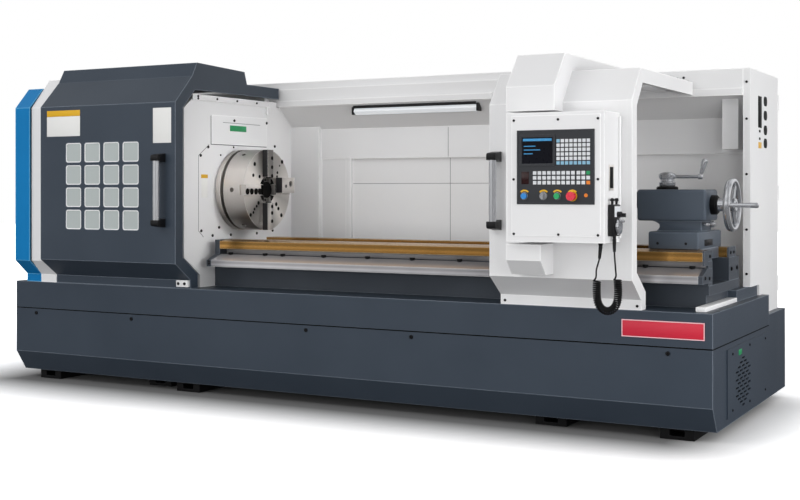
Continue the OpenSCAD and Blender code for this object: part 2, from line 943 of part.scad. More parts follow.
module motor_pulley() {
  w = belt_w + 2 * flange_w;
  color([0.6, 0.6, 0.62]) placed() {
    rod_x(pulley_x, pulley_x + w, motor_y, motor_z, motor_pulley_r);
    rod_x(pulley_x, pulley_x + flange_w - 1, motor_y, motor_z, motor_pulley_r + flange_h);
    rod_x(pulley_x + w - flange_w + 1, pulley_x + w, motor_y, motor_z, motor_pulley_r + flange_h);
    rod_x(pulley_x, motor_x0 + motor_len / 2 - 1, motor_y, motor_z, motor_shaft);
  }
}

module belt_outline(x0, x1, extra) {
  hull() {
    rod_x(x0, x1, spin_y, spin_z, pulley_r + extra);
    rod_x(x0, x1, motor_y, motor_z, motor_pulley_r + extra);
  }
}

module drive_belt() {
  x0 = pulley_x + flange_w;
  color([0.08, 0.08, 0.08]) placed() difference() {
    belt_outline(x0, x0 + belt_w, belt_t + slide);
    belt_outline(x0 - eps, x0 + belt_w + eps, slide);
  }
}

module headstock_cover() {
  path = [[head_skirt, base_top], [head_skirt, base_top + head_skirt_h], [head_front, head_low],
    [head_front, head_slant_z], [head_slant_y, head_roof], [roof_rear, head_roof],
    [roof_rear, head_rear_top], [head_rear, head_rear_top], [head_rear, base_top]];
  x0 = hood_right;
  color([0.85, 0.85, 0.85]) placed() difference() {
    union() {
      along_x(x0, head_face) polygon(strip(path, sheet));
      along_x(head_face - sheet, head_face) polygon(path);
    }
    rod_x(head_face - 2 * sheet, head_face + sheet, spin_y, spin_z, face_hole);
    box(head_face - 2 * sheet, head_face + sheet, bed_front - 1, bed_rear + 1, base_top - eps,
      bed_top + 1);
  }
}

module left_hood() {
  path = [[skirt_y, base_top], [skirt_y, skirt_z], [hood_front, 770], [hood_front, 1732],
    [72, hood_roof], [head_rear, hood_roof], [head_rear, base_top]];
  color([0.85, 0.85, 0.85]) placed() {
    along_x(hood_left, hood_right) polygon(strip(path, sheet));
    along_x(hood_left, hood_left + sheet) polygon(strip(path, door_return));
    along_x(hood_right - sheet, hood_right) polygon(strip(path, sheet + door_return / 4));
  }
}

module end_cover() {
  path = [[skirt_y, base_top], [skirt_y, skirt_z], [end_front, 769], [end_front, 1733],
    [15, end_roof], [head_rear, end_roof], [head_rear, base_top]];
  color([0.14, 0.47, 0.71]) placed() {
    along_x(end_left, hood_left) polygon(strip(path, sheet));
    along_x(end_left, end_left + sheet) polygon(path);
  }
}

// Chuck

module chuck_plate() {
  color([0.62, 0.63, 0.65]) placed() difference() {
    union() {
      rod_x(plate_x0, groove_x0, spin_y, spin_z, chuck_r);
      rod_x(groove_x0, chuck_x0, spin_y, spin_z, chuck_r - groove_in);
    }
    rod_x(plate_x0 - eps, chuck_x0 + eps, spin_y, spin_z, bore_r);
  }
}

// Turn a jaw shape drawn upwards to one of the four slots
module at_slot(a) {
  translate([0, spin_y, spin_z]) rotate([a, 0, 0]) children();
}

module chuck_body() {
  half = jaw_w / 2 + slide;
  color([0.66, 0.67, 0.69]) placed() difference() {
    rod_x(chuck_x0, chuck_face, spin_y, spin_z, chuck_r);
    rod_x(chuck_x0 - eps, chuck_face + eps, spin_y, spin_z, bore_r);
    for (a = [0, 90, 180, 270]) at_slot(a) {
      box(chuck_face - jaw_slot, chuck_face + eps, -half, half, 0, chuck_r + eps);
    }
    for (a = [30, 90, 150, 210, 270, 330]) at_slot(a) {
      translate([chuck_x0 + chuck_len * 0.42, 0, chuck_r * 0.8]) cylinder(r = 14, h = chuck_r, $fn = fine);
    }
  }
}

module jaw_shape() {
  r0 = bore_r + jaw_move + 5;
  r1 = chuck_r - jaw_move;
  difference() {
    box(chuck_face - jaw_slot + slide, chuck_face + jaw_out, -jaw_w / 2, jaw_w / 2, r0, r1);
    for (i = [1 : 3]) {
      translate([chuck_face + jaw_out - 12, 0, r0 + (r1 - r0) * i / 4]) rotate([0, 90, 0])
        cylinder(r = 8, h = 20, $fn = fine);
    }
  }
}

module jaw_top() {
  color([0.7, 0.7, 0.72]) placed() at_slot(0) jaw_shape();
}

module jaw_front() {
  color([0.7, 0.7, 0.72]) placed() at_slot(90) jaw_shape();
}

module jaw_bottom() {
  color([0.7, 0.7, 0.72]) placed() at_slot(180) jaw_shape();
}

// Tall jaw: its block stands out of the face and reaches above the slot
module jaw_rear() {
  r0 = bore_r + jaw_move + 5;
  r1 = chuck_r - jaw_move;
  x0 = chuck_face + jaw_out;
  x1 = x0 + top_jaw - jaw_out;
  block_up = jaw_w + 15;
  block_low = jaw_w / 2 - 12;
  color([0.7, 0.7, 0.72]) placed() at_slot(270) difference() {
    union() {
      box(chuck_face - jaw_slot + slide, x0, -jaw_w / 2, jaw_w / 2, r0, r1);
      box(x0 - 1, x1, -block_up, block_low, r0 + 10, r0 + 146);
    }
    translate([x1 - 30, -block_up / 2, r0 + 104]) rotate([0, 90, 0]) cylinder(r = 18, h = 40, $fn = fine);
  }
}

// Doors

function left_path(bottom) = [[skirt_y, bottom], [skirt_y, skirt_z], [door_front, low_z],
  [door_front, left_slant], [left_slant_y, left_roof], [roof_rear, left_roof]];
function left_skin(bottom) = [[skirt_y, bottom], [skirt_y, skirt_z], [door_front, low_z],
  [door_front, left_slant], [left_slant_y, left_roof + 10], [hump_f, left_hump],
  [hump_b, left_hump - 16], [hump_end, left_roof], [roof_rear, left_roof]];
function right_path(bottom) = [[skirt_y, bottom], [skirt_y, skirt_z], [door_front, low_z],
  [door_front, right_slant], [right_slant_y, right_roof], [roof_rear, right_roof]];

module left_door() {
  skin = left_skin(door_bottom);
  back = concat(skin, turned(inset(left_path(door_bottom), door_return)));
  color([0.26, 0.29, 0.33]) placed() difference() {
    union() {
      along_x(left_x, left_x1) polygon(strip(skin, door_t));
      along_x(left_x, left_x + door_return_t) polygon(back);
      along_x(left_x1 - door_return_t, left_x1) polygon(back);
    }
    translate([0, door_front + 2 * door_t, 0]) rotate([90, 0, 0]) linear_extrude(4 * door_t)
      for (i = [0 : 3]) for (j = [0 : 3])
        polygon(round_rect(win_x + i * win_px, win_z + j * win_pz, win_w, win_h, win_r));
  }
}

module left_window() {
  edge = 24;
  color([0.75, 0.78, 0.77]) placed() box(win_x - edge, win_x + 3 * win_px + win_w + edge,
    door_front + door_t, door_front + door_t + 5, win_z - edge, win_z + 3 * win_pz + win_h + edge);
}

// Grip tube between two wedge feet
module grip(x, z0, h) {
  y0 = door_front - grip_gap - grip_r;
  y1 = y0 - grip_r - 4;
  foot = grip_foot_h;
  for (k = [0, 1]) {
    mid = k == 0 ? z0 + foot / 2 : z0 + h - foot / 2;
    translate([x - grip_foot / 2, 0, 0]) along_x(0, grip_foot) polygon([[door_front, mid - foot / 2],
      [door_front, mid + foot / 2], [y1, mid + foot / 3], [y1, mid - foot / 3]]);
  }
  rod_z(x, y0, z0 + foot / 2, z0 + h - foot / 2, grip_r);
}

module left_handle() {
  color([0.2, 0.2, 0.21]) placed() grip(grip_left_x, grip_left_z, left_grip);
}

module right_handle() {
  color([0.2, 0.2, 0.21]) placed() grip(grip_right_x, grip_right_z, right_grip);
}

// Lower guide blocks behind the skirt and upper blocks on the beam lip
module shoes(x0, x1, roof, lip) {
  for (x = [x0 + door_return_t, x1 - door_return_t - shoe_len]) {
    box(x, x + shoe_len, skirt_y + door_t, skirt_y + door_t + shoe_d, base_top + slide,
      base_top + shoe_h);
  }
  for (x = [x0 + shoe_in, x1 - shoe_in - shoe_len]) {
    box(x, x + shoe_len, lip_front - shoe_d, lip_front + lip_out - 2, lip + slide, lip + slide + 14);
    box(x, x + shoe_len, lip_front - shoe_d, roof_rear - 2, lip + slide, roof - door_t);
  }
}

module left_shoes() {
  color([0.85, 0.85, 0.85]) placed() shoes(left_x, left_x1, left_roof, left_lip);
}

module right_shoes() {
  color([0.85, 0.85, 0.85]) placed() shoes(right_x, right_x1, right_roof, right_lip);
}

module right_door() {
  path = right_path(door_bottom);
  color([0.85, 0.85, 0.85]) placed() {
    along_x(right_x, right_x1) polygon(strip(path, door_t));
    along_x(right_x, right_x + door_return_t) polygon(strip(path, door_return));
    along_x(right_x1 - door_return_t, right_x1) polygon(strip(path, door_return));
  }
}

module cable_housing() {
  t = door_t;
  outer = [[door_front, duct_low], [duct_front, duct_low], [duct_front, duct_slant],
    [duct_slant_y, duct_top], [roof_rear, duct_top], [roof_rear, right_roof],
    [right_slant_y, right_roof], [door_front, right_slant]];
  inner = [[door_front + t, duct_low + t], [duct_front + t, duct_low + t],
    [duct_front + t, duct_slant - 1], [duct_slant_y + t / 2, duct_top - t],
    [roof_rear - t, duct_top - t], [roof_rear - t, right_roof - t]];
  color([0.85, 0.85, 0.85]) placed() difference() {
    along_x(duct_x, duct_x + duct_w) polygon(outer);
    along_x(duct_x + t, duct_x + duct_w - t) polygon(inner);
  }
}

// Control box and what it carries

module control_box() {
  t = box_t;
  color([0.85, 0.85, 0.85]) placed() difference() {
    box(box_x, box_x1, panel_y, door_front, box_z, box_z + box_h);
    box(box_x + t, box_x1 - t, panel_y + t, door_front + t, box_z + t, box_z + box_h - t);
    for (x = button_x) rod_y(x, panel_y - t, panel_y + 2 * t, button_z, stem_hole);
  }
}

module control_panel() {
  color([0.17, 0.18, 0.2]) placed() difference() {
    union() {
      box(panel_x, panel_x + panel_w, face_y, panel_y, panel_z, panel_z + panel_h);
      for (x = [button_x[0], button_x[2]]) rod_y(x, face_y - bezel_t, face_y + 1, button_z, button_r + 4);
    }
    for (x = button_x) rod_y(x, face_y - 2 * bezel_t, panel_y + eps, button_z, stem_r + run);
    for (x = [button_x[0], button_x[2]]) {
      rod_y(x, face_y - 2 * bezel_t, face_y + 1, button_z, button_r + slide);
    }
    box(screen_x, screen_x + screen_w, face_y - eps, face_y + screen_t, screen_z, screen_z + screen_h);
  }
}

module screen() {
  color([0.06, 0.07, 0.08]) placed() box(screen_x + run, screen_x + screen_w - run, face_y,
    face_y + screen_t, screen_z + run, screen_z + screen_h - run);
}

// Push button: cap in front, stem in its hole
module push_button(x) {
  y1 = face_y + 1 - button_lift;
  rod_y(x, y1 - 12, y1, button_z, button_r);
  rod_y(x, y1 - 1, face_y + 3, button_z, stem_r);
}

module blue_button() {
  color([0.1, 0.3, 0.7]) placed() push_button(button_x[0]);
}

module green_button() {
  color([0.1, 0.6, 0.3]) placed() push_button(button_x[2]);
}

module mode_selector() {
  x = button_x[1];
  color([0.1, 0.1, 0.1]) placed() {
    rod_y(x, face_y - 8, face_y - slide, button_z, button_r + 2);
    rod_y(x, face_y - 1, face_y + 6, button_z, stem_r);
    box(x - 5, x + 5, face_y - 22, face_y - 7, button_z - button_r, button_z + button_r);
  }
}

module emergency_stop() {
  x = button_x[3];
  color([0.8, 0.12, 0.14]) placed() {
    rod_y(x, y_min, face_y - stop_lift, button_z, stop_r);
    rod_y(x, face_y - stop_lift - 1, face_y + 4, button_z, stem_r);
  }
}

module console_box() {
  t = door_t;
  outer = [[door_front, console_top], [door_front, console_low], [console_slant_y, console_low],
    [console_front, console_face], [console_front, console_top]];
  inner = [[door_front + t, console_top - t], [door_front + t, console_low + t],
    [console_slant_y + t / 2, console_low + t], [console_front + t, console_face + t / 2],
    [console_front + t, console_top - t]];
  color([0.85, 0.85, 0.85]) placed() difference() {
    along_x(console_x, console_x + console_w) polygon(outer);
    along_x(console_x + t, console_x + console_w - t) polygon(inner);
  }
}

// Pendant

module pendant_body() {
  color([0.16, 0.17, 0.18]) placed() difference() {
    union() {
      box(pend_x, pend_x1, pend_y, pend_y + pend_w, pend_z, pend_z + pend_h);
      for (y = [pend_y + 18, pend_y + 66]) {
        rod_z(pend_x + pend_t / 2, y, pend_z + pend_h - 1, pend_z + pend_h + pin_h - 8, pin_r);
        rod_z(pend_x + pend_t / 2, y, pend_z + pend_h + pin_h - 9, pend_z + pend_h + pin_h, pin_r + 5);
      }
    }
    for (z = [pend_z + 45, pend_z + 102]) rod_x(pend_x1 - shaft_in, pend_x1 + eps, pend_mid, z, shaft_r + run);
  }
}

module pendant_wheel() {
  z = pend_z + 45;
  color([0.12, 0.12, 0.13]) placed() {
    rod_x(pend_x1 + slide, pend_x1 + slide + wheel_t, pend_mid, z, pend_wheel);
    rod_x(pend_x1 - shaft_in + 1, pend_x1 + 1, pend_mid, z, shaft_r);
    rod_x(pend_x1 + wheel_t, pend_x1 + wheel_t + 20, pend_mid, z + pend_wheel * 0.68, 7);
  }
}

module pendant_selector() {
  z = pend_z + 102;
  color([0.12, 0.12, 0.13]) placed() {
    rod_x(pend_x1 + slide, pend_x1 + knob_len / 2, pend_mid, z, knob_r);
    rod_x(pend_x1 - shaft_in + 1, pend_x1 + 1, pend_mid, z, shaft_r);
    box(pend_x1 + knob_len / 2 - 1, pend_x1 + knob_len, pend_mid - 4, pend_mid + 4, z - knob_r, z + 6);
  }
}

// Cord

module cord_gland() {
  color([0.1, 0.1, 0.1]) placed() {
    translate([cord_a[0], cord_a[1], cord_a[2]]) cylinder(r1 = cord_r + 3, r2 = gland_r, h = gland_h);
    translate([cord_c[0], cord_c[1], cord_c[2]]) cylinder(r1 = cord_r + 2, r2 = gland_r - 4, h = gland_h);
  }
}

module cord_lead() {
  color([0.08, 0.08, 0.08]) placed() tube(lead_pts, cord_r, 10);
}

module cord_coil() {
  color([0.08, 0.08, 0.08]) placed() tube(coil_pts, coil_r, 12);
}

module cord_tail() {
  color([0.08, 0.08, 0.08]) placed() tube(tail_pts, cord_r, 10);
}

// Rear wall, beam, lamp and cabinet

module rear_wall() {
  path = [[wall_y, base_top], [wall_y, wall_step], [wall_low_y, wall_step],
    [wall_low_y, wall_bend], [wall_top_y, beam_bottom]];
  color([0.82, 0.82, 0.82]) placed() {
    along_x(head_face, wing_x0) polygon(concat(path, [[wall_top_y + 2 * sheet, beam_bottom],
      [wall_low_y + sheet, wall_bend + sheet], [wall_low_y + sheet, wall_step + sheet],
      [wall_y + sheet, wall_step + sheet], [wall_y + sheet, base_top]]));
    box(head_face, wing_x0, wall_y, wall_y + sheet, wall_step, beam_bottom);
    box(head_face, post_x[0], wall_low_y - step_in, wall_y + 1, base_top, step_top);
    box(post_x[0] - 1, post_x[1], wall_y - fold_d, wall_y + 1, base_top, wall_step + 1);
    box(post_x[1] - 1, post_x[1] + fold_w, wall_y - fold_d - 8, wall_y + 1, base_top, wall_step + 1);
    box(duct_box[0], duct_box[1], wall_low_y - 120, wall_low_y + 1, duct_box[2], duct_box[3]);
  }
}

module top_beam() {
  t = sheet;
  y1 = wall_y + t;
  color([0.85, 0.85, 0.85]) placed() {
    along_x(hood_right, wing_x0) polygon([[beam_front, beam_bottom], [beam_front, beam_top],
      [y1, beam_top], [y1, beam_bottom], [y1 - t, beam_bottom], [y1 - t, beam_top - t],
      [beam_front + t, beam_top - t], [beam_front + t, beam_bottom]]);
    box(hood_right, lip_split - split_gap, lip_front, beam_front + 1, beam_bottom, left_lip);
    box(lip_split + split_gap, wing_x0, lip_front, beam_front + 1, right_lip_low, right_lip);
    box(hood_right, cap_x1, cap_y, y1, beam_top - 1, cap_top);
  }
}

module work_lamp() {
  d = unit([wall_top_y - wall_low_y, beam_bottom - wall_bend]);
  n = [-d[1], d[0]];
  m = [(wall_low_y + wall_top_y) / 2, (wall_bend + beam_bottom) / 2] + d * 62;
  out = n * (n[1] < 0 ? 1 : -1);
  color([0.8, 0.82, 0.84]) placed() along_x(lamp_x0, lamp_x1) polygon([m - d * lamp_d / 2,
    m + d * lamp_d / 2, m + d * lamp_d / 2.6 + out * lamp_h, m - d * lamp_d / 2.6 + out * lamp_h]);
}

module cabinet() {
  w = cab_wall;
  y0 = wall_y + sheet;
  color([0.85, 0.85, 0.85]) placed() {
    difference() {
      union() {
        box(cab_x0, cab_right, y0, cab_rear, base_top, beam_top);
        box(cab_x0, cab_right, base_depth, cab_rear, rear_top, beam_top);
      }
      box(cab_x0 + w, cab_right - w, y0 + w, cab_rear + eps, base_top + w, beam_top - w);
      box(cab_x0 + w, cab_right - w, base_depth + w, cab_rear + eps, rear_top + w, beam_top - w);
    }
    box(wing_x0, cab_right, beam_front, y0 + 1, wing_z, beam_top);
  }
}

module cabinet_door() {
  color([0.83, 0.83, 0.83]) placed() {
    difference() {
      box(cab_x0 + 3, hinge_x, cab_rear + slide, rear_y, rear_top + 3, beam_top - 3);
      box(cab_x0 + 60, cab_x0 + 100, rear_y - 8, rear_y + 1, latch_z, latch_z + latch_h);
    }
    box(cab_x0 + 72, cab_x0 + 88, rear_y - 9, rear_y - 1, latch_z + latch_in, latch_z + latch_h - latch_in);
    for (z = hinge_z) rod_z(hinge_x, rear_y, z, z + hinge_len, hinge_r);
  }
}

// Carriage

module saddle() {
  nx0 = saddle_x + (saddle_len - nut_len) / 2;
  nx1 = nx0 + nut_len;
  color([0.28, 0.31, 0.34]) placed() difference() {
    union() {
      box(saddle_x, saddle_x + saddle_len, saddle_f, saddle_b, saddle_z, saddle_z + saddle_t);
      box(saddle_x, saddle_x + saddle_len, bed_slot_f + slide, bed_slot_f + 40, bed_top,
        saddle_z + 1);
      box(saddle_x, saddle_x + saddle_len, bed_slot_b - 40, bed_slot_b - slide, bed_top,
        saddle_z + 1);
      box(nx0, nx1, saddle_f, rail_f - 5, arm_low, saddle_z + 1);
      box(nx0, nx1, saddle_f, arm_f + arm_w, arm_low, arm_low + arm_h);
      box(nx0, nx1, arm_f, arm_f + arm_w, screw_z, arm_low + 1);
      box(nx0, nx1, screw_y - nut_half, screw_y + nut_half, screw_z - nut_half, screw_z + nut_half);
    }
    rod_x(nx0 - 1, nx1 + 1, screw_y, screw_z, screw_r + run);
    box(way_x0 - slide, way_x0 + way_gap + slide, saddle_f - 1, saddle_b + 1, cross_z - way_h, cross_z + 1);
    box(way_x0 + way_w - way_gap - slide, way_x0 + way_w + slide, saddle_f - 1, saddle_b + 1,
      cross_z - way_h, cross_z + 1);
  }
}

module cross_slide() {
  x0 = way_x0;
  x1 = way_x0 + way_w;
  y0 = post_c[1] - 85;
  y1 = post_c[1] + 240;
  color([0.33, 0.35, 0.38]) placed() difference() {
    union() {
      box(x0 - 10, x1 + 10, y0, y1, cross_z + slide, cross_z + cross_t);
      box(x0, x0 + way_gap, y0, y1, cross_z - way_h + slide, cross_z + 1);
      box(x1 - way_gap, x1, y0, y1, cross_z - way_h + slide, cross_z + 1);
      rod_z(post_c[0], post_c[1], cross_z + cross_t - 1, post_z - slide, post_w / 2);
    }
    rod_z(post_c[0], post_c[1], cross_z + 10, post_z + 1, pivot_r + run);
  }
}

module tool_post() {
  h = post_w / 2;
  x = post_c[0];
  y = post_c[1];
  bar = 28;
  z1 = spin_z;
  color([0.2, 0.21, 0.22]) placed() {
    difference() {
      box(x - h, x + h, y - h, y + h, post_z, post_z + post_h);
      box(x - h - 1, x + h + 1, y + h - 34, y + h + 1, z1 - bar, z1 + slide);
      box(x - h - 1, x - h + 34, y - h - 1, y + h + 1, z1 - bar, z1 + slide);
    }
    box(x - 8 - bar, x - 8, y - h / 2, y + h + tool_out, z1 - bar, z1);
    box(x - h - tool_out, x + h / 2, y - 8 - bar, y - 8, z1 - bar, z1);
    rod_z(x, y, cross_z + 12, post_z + 1, pivot_r);
    rod_z(x, y, post_z + post_h - 1, post_z + post_h + 26, 24);
  }
}

// Tailstock

module tailstock() {
  x1 = tail_x + tail_len;
  color([0.25, 0.28, 0.31]) placed() difference() {
    union() {
      box(tail_x, x1, tail_f, tail_b, rail_top + slide, tail_base_top);
      box(tail_x, x1, bed_slot_f + slide, bed_slot_b - slide, bed_top, rail_top + 1);
      along_y(spin_y - neck_half, spin_y + neck_half) polygon([[neck_x0 - neck_lap / 4, tail_base_top - 1],
        [neck_x0, neck_mid], [neck_x0 - neck_lap, body_low + 1], [neck_x1, body_low + 1],
        [neck_x1, tail_base_top - 1]]);
      box(body_x0, body_x1, spin_y - body_half, spin_y + body_half, body_low, body_top);
      box(barrel_x1 - link_half, body_x0 + 1, spin_y - link_half, spin_y + link_half, link_low, link_top);
      rod_x(barrel_x0, barrel_x1, spin_y, spin_z, barrel_r);
      rod_x(body_x1 - 1, body_x1 + flange_len, spin_y, wheel_z, bear_flange);
      rod_z(lever_x, spin_y, body_top - 1, body_top + 16, lever_hub + 12);
    }
    rod_x(barrel_x0 - 1, barrel_x1 - 15, spin_y, spin_z, quill_r + run);
    rod_x(body_x1 - wheel_in - 2, body_x1 + flange_len + 1, spin_y, wheel_z, shaft_wheel + run);
    rod_z(lever_x, spin_y, body_top - 40, body_top + 17, lever_r + run);
    rod_x(neck_x1 - clamp_in - 2, neck_x1 + 1, clamp_y, clamp_z, lever_r + run);
  }
}

module quill() {
  color([0.75, 0.76, 0.78]) placed() {
    rod_x(quill_x0, quill_x1, spin_y, spin_z, quill_r);
    translate([quill_x0 - 30, spin_y, spin_z]) rotate([0, 90, 0]) cylinder(r = quill_r * 0.6, h = 31);
    translate([tip_x, spin_y, spin_z]) rotate([0, 90, 0]) cylinder(r1 = 1, r2 = quill_r * 0.6, h = quill_x0 - 29 - tip_x);
  }
}

module tail_wheel() {
  color([0.78, 0.79, 0.8]) placed() {
    translate([wheel_x, spin_y, wheel_z]) rotate([0, 90, 0]) rotate_extrude()
      translate([wheel_r - 2 * rim_r, -rim_w / 2]) square([2 * rim_r, rim_w]);
    rod_x(body_x1 + flange_len + slide, wheel_x + 22, spin_y, wheel_z, hub_r);
    rod_x(body_x1 - wheel_in, body_x1 + flange_len + 1, spin_y, wheel_z, shaft_wheel);
    for (a = [90, 210, 330]) translate([wheel_x, spin_y, wheel_z]) rotate([a, 0, 0])
      cylinder(r = 9, h = wheel_r - rim_r);
    translate([0, spin_y, wheel_z]) rotate([90, 0, 0]) rod_x(wheel_x, crank_x, 0, wheel_r - rim_r, crank_r);
  }
}

module quill_lever() {
  z = body_top + lever_h;
  color([0.78, 0.79, 0.8]) placed() {
    rod_z(lever_x, spin_y, body_top + 16 + slide, z, lever_hub);
    rod_z(lever_x, spin_y, body_top - 38, body_top + 18, lever_r);
    rod_x(lever_x, lever_end, spin_y, z - 24, lever_r);
    translate([lever_end, spin_y, z - 24]) sphere(r = lever_r + 5);
    translate([lever_end, spin_y, z - 24]) rotate([0, 15, 0]) cylinder(r1 = lever_r, r2 = lever_grip,
      h = lever_tip);
  }
}

module bed_lever() {
  color([0.78, 0.79, 0.8]) placed() {
    rod_x(neck_x1 - clamp_in, neck_x1 + clamp_out, clamp_y, clamp_z, lever_r);
    rod_x(neck_x1 + clamp_out - 28, neck_x1 + clamp_out - 2, clamp_y, clamp_z, lever_r + 7);
    translate([neck_x1 + clamp_out - 15, clamp_y, clamp_z]) rotate([90, 0, 0])
      cylinder(r = lever_r - 2, h = clamp_len);
  }
}
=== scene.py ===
import json
import math

import bmesh
import bpy
from mathutils import Matrix, Vector


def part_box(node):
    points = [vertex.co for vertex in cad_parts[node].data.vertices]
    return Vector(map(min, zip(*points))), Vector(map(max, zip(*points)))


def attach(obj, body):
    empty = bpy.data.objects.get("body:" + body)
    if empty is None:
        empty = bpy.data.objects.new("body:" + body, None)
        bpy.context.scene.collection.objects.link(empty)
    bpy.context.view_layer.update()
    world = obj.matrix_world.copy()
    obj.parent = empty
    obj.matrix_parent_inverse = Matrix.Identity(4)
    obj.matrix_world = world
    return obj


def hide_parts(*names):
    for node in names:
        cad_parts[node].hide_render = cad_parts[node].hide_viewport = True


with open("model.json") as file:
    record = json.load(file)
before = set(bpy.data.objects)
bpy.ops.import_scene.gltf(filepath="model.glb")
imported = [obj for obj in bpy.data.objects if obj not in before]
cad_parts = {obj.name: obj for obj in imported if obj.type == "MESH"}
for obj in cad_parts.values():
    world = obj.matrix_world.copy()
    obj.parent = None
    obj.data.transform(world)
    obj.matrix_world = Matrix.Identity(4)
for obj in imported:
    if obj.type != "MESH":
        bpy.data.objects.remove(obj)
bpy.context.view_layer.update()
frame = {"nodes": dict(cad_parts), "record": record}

# Machine coordinates in millimetres (X from the middle of the base, Y from its front, Z from the
# floor) become the row frame in metres.
MID_X, MID_Y = 63.5, 641.0
FRONT, BACK, LEFT, RIGHT, UP = (0, -1, 0), (0, 1, 0), (-1, 0, 0), (1, 0, 0), (0, 0, 1)
SPIN_Y, SPIN_Z = 513, 1215  # the spindle's axis
WHEEL_Z = 1138  # the tailstock handwheel's axis, which has the spindle's Y


def at(x, y, z):
    """Machine millimetres to the row frame."""
    return Vector(((x - MID_X) / 1000.0, (y - MID_Y) / 1000.0, z / 1000.0))


def lin(r, g, b):
    """Screen colour from 0 to 255 to a linear one."""
    out = []
    for c in (r, g, b):
        c /= 255.0
        out.append(c / 12.92 if c <= 0.04045 else ((c + 0.055) / 1.055) ** 2.4)
    return (*out, 1.0)


AXIS = at(0, SPIN_Y, SPIN_Z)
scene = bpy.context.scene

# Camera, fitted to the photograph
cam_data = bpy.data.cameras.new("camera")
cam_data.lens = 55.34
cam_data.sensor_width = 36.0
cam_data.shift_y = -0.0748
cam_data.clip_end = 200.0
cam = bpy.data.objects.new("camera", cam_data)
cam.location = at(3729.0, -5789.5, 1213.2)
cam.rotation_euler = (math.radians(90.0), 0.0, math.radians(28.607))
scene.collection.objects.link(cam)
scene.camera = cam


# Materials
def node(nt, kind, **inputs):
    """New node with values for its inputs."""
    n = nt.nodes.new(kind)
    for key, value in inputs.items():
        n.inputs[key].default_value = value
    return n


def blend_colour(nt, factor, a, b):
    """Mix of two colours, each a value or a socket."""
    m = nt.nodes.new("ShaderNodeMix")
    m.data_type = "RGBA"
    nt.links.new(factor, m.inputs[0])
    for socket, value in ((m.inputs[6], a), (m.inputs[7], b)):
        if isinstance(value, tuple):
            socket.default_value = value
        else:
            nt.links.new(value, socket)
    return m.outputs[2]


def spread(nt, factor, low, high, from_low=0.3, from_high=0.7):
    """A range of a factor stretched to another range."""
    m = nt.nodes.new("ShaderNodeMapRange")
    m.inputs[1].default_value = from_low
    m.inputs[2].default_value = from_high
    m.inputs[3].default_value = low
    m.inputs[4].default_value = high
    nt.links.new(factor, m.inputs[0])
    return m.outputs[0]


def vector_math(nt, operation, a, b=None):
    v = nt.nodes.new("ShaderNodeVectorMath")
    v.operation = operation
    nt.links.new(a, v.inputs[0])
    if isinstance(b, bpy.types.NodeSocket):
        nt.links.new(b, v.inputs[1])
    elif b is not None:
        v.inputs[1].default_value = b
    return v.outputs["Value" if operation in ("LENGTH", "DOT_PRODUCT") else "Vector"]


def multiply(nt, a, b):
    m = nt.nodes.new("ShaderNodeMix")
    m.data_type = "RGBA"
    m.blend_type = "MULTIPLY"
    m.inputs[0].default_value = 1.0
    nt.links.new(a, m.inputs[6])
    nt.links.new(b, m.inputs[7])
    return m.outputs[2]


def ramp(nt, place, stops):
    """Colours by place, through stops of (place, colour); a bare number is a grey."""
    r = nt.nodes.new("ShaderNodeValToRGB")
    elements = r.color_ramp.elements
    stops = [(at_place, v if isinstance(v, tuple) else (v, v, v, 1.0)) for at_place, v in stops]
    for e, (at_place, colour) in zip(elements, (stops[0], stops[-1])):
        e.position, e.color = at_place, colour
    for at_place, colour in stops[1:-1]:
        elements.new(at_place).color = colour
    nt.links.new(place, r.inputs[0])
    return r.outputs[0]


def by_ray(nt, ray, others, chosen):
    """One shader for a kind of ray and another for the rest."""
    path = nt.nodes.new("ShaderNodeLightPath")
    m = nt.nodes.new("ShaderNodeMixShader")
    nt.links.new(path.outputs[ray], m.inputs[0])
    nt.links.new(others, m.inputs[1])
    nt.links.new(chosen, m.inputs[2])
    return m.outputs[0]


def turning_marks(nt, coord, centre, scale, axis):
    """Fine rings round an axis, as a turning tool leaves them."""
    wave = node(nt, "ShaderNodeTexWave", Scale=scale, Distortion=0.1, Detail=0.0)
    wave.wave_type = "RINGS"
    wave.rings_direction = axis
    shift = nt.nodes.new("ShaderNodeMapping")
    shift.inputs["Location"].default_value = -Vector(centre)
    nt.links.new(coord, shift.inputs["Vector"])
    nt.links.new(shift.outputs["Vector"], wave.inputs["Vector"])
    return wave.outputs[1]


def painted_reflection_bands(nt, coord, by, low, high, stops):
    """Painted reflections: light and dark bands by height, or by the angle round the spindle's axis."""
    split = nt.nodes.new("ShaderNodeSeparateXYZ")
    nt.links.new(coord, split.inputs[0])
    place = split.outputs["Z"]
    if by == "turn":
        angle = nt.nodes.new("ShaderNodeMath")
        angle.operation = "ARCTAN2"
        for socket, letter, centre in ((angle.inputs[0], "Z", AXIS.z), (angle.inputs[1], "Y", AXIS.y)):
            off = nt.nodes.new("ShaderNodeMath")
            off.operation = "SUBTRACT"
            nt.links.new(split.outputs[letter], off.inputs[0])
            off.inputs[1].default_value = centre
            nt.links.new(off.outputs[0], socket)
        place = angle.outputs[0]
    return ramp(nt, spread(nt, place, 0.0, 1.0, low, high), stops)


SHADED_BEVEL = 0.0035  # a wider bevel only paints a highlight on the edge, and leaves its shading as it is
HIGHLIGHT_MOST, HIGHLIGHT_RANGE = 0.9, (0.95, 0.9995)  # how far the painted edge highlight lightens an edge, by how far its normal bends
BUMP_DEPTH = 0.0006


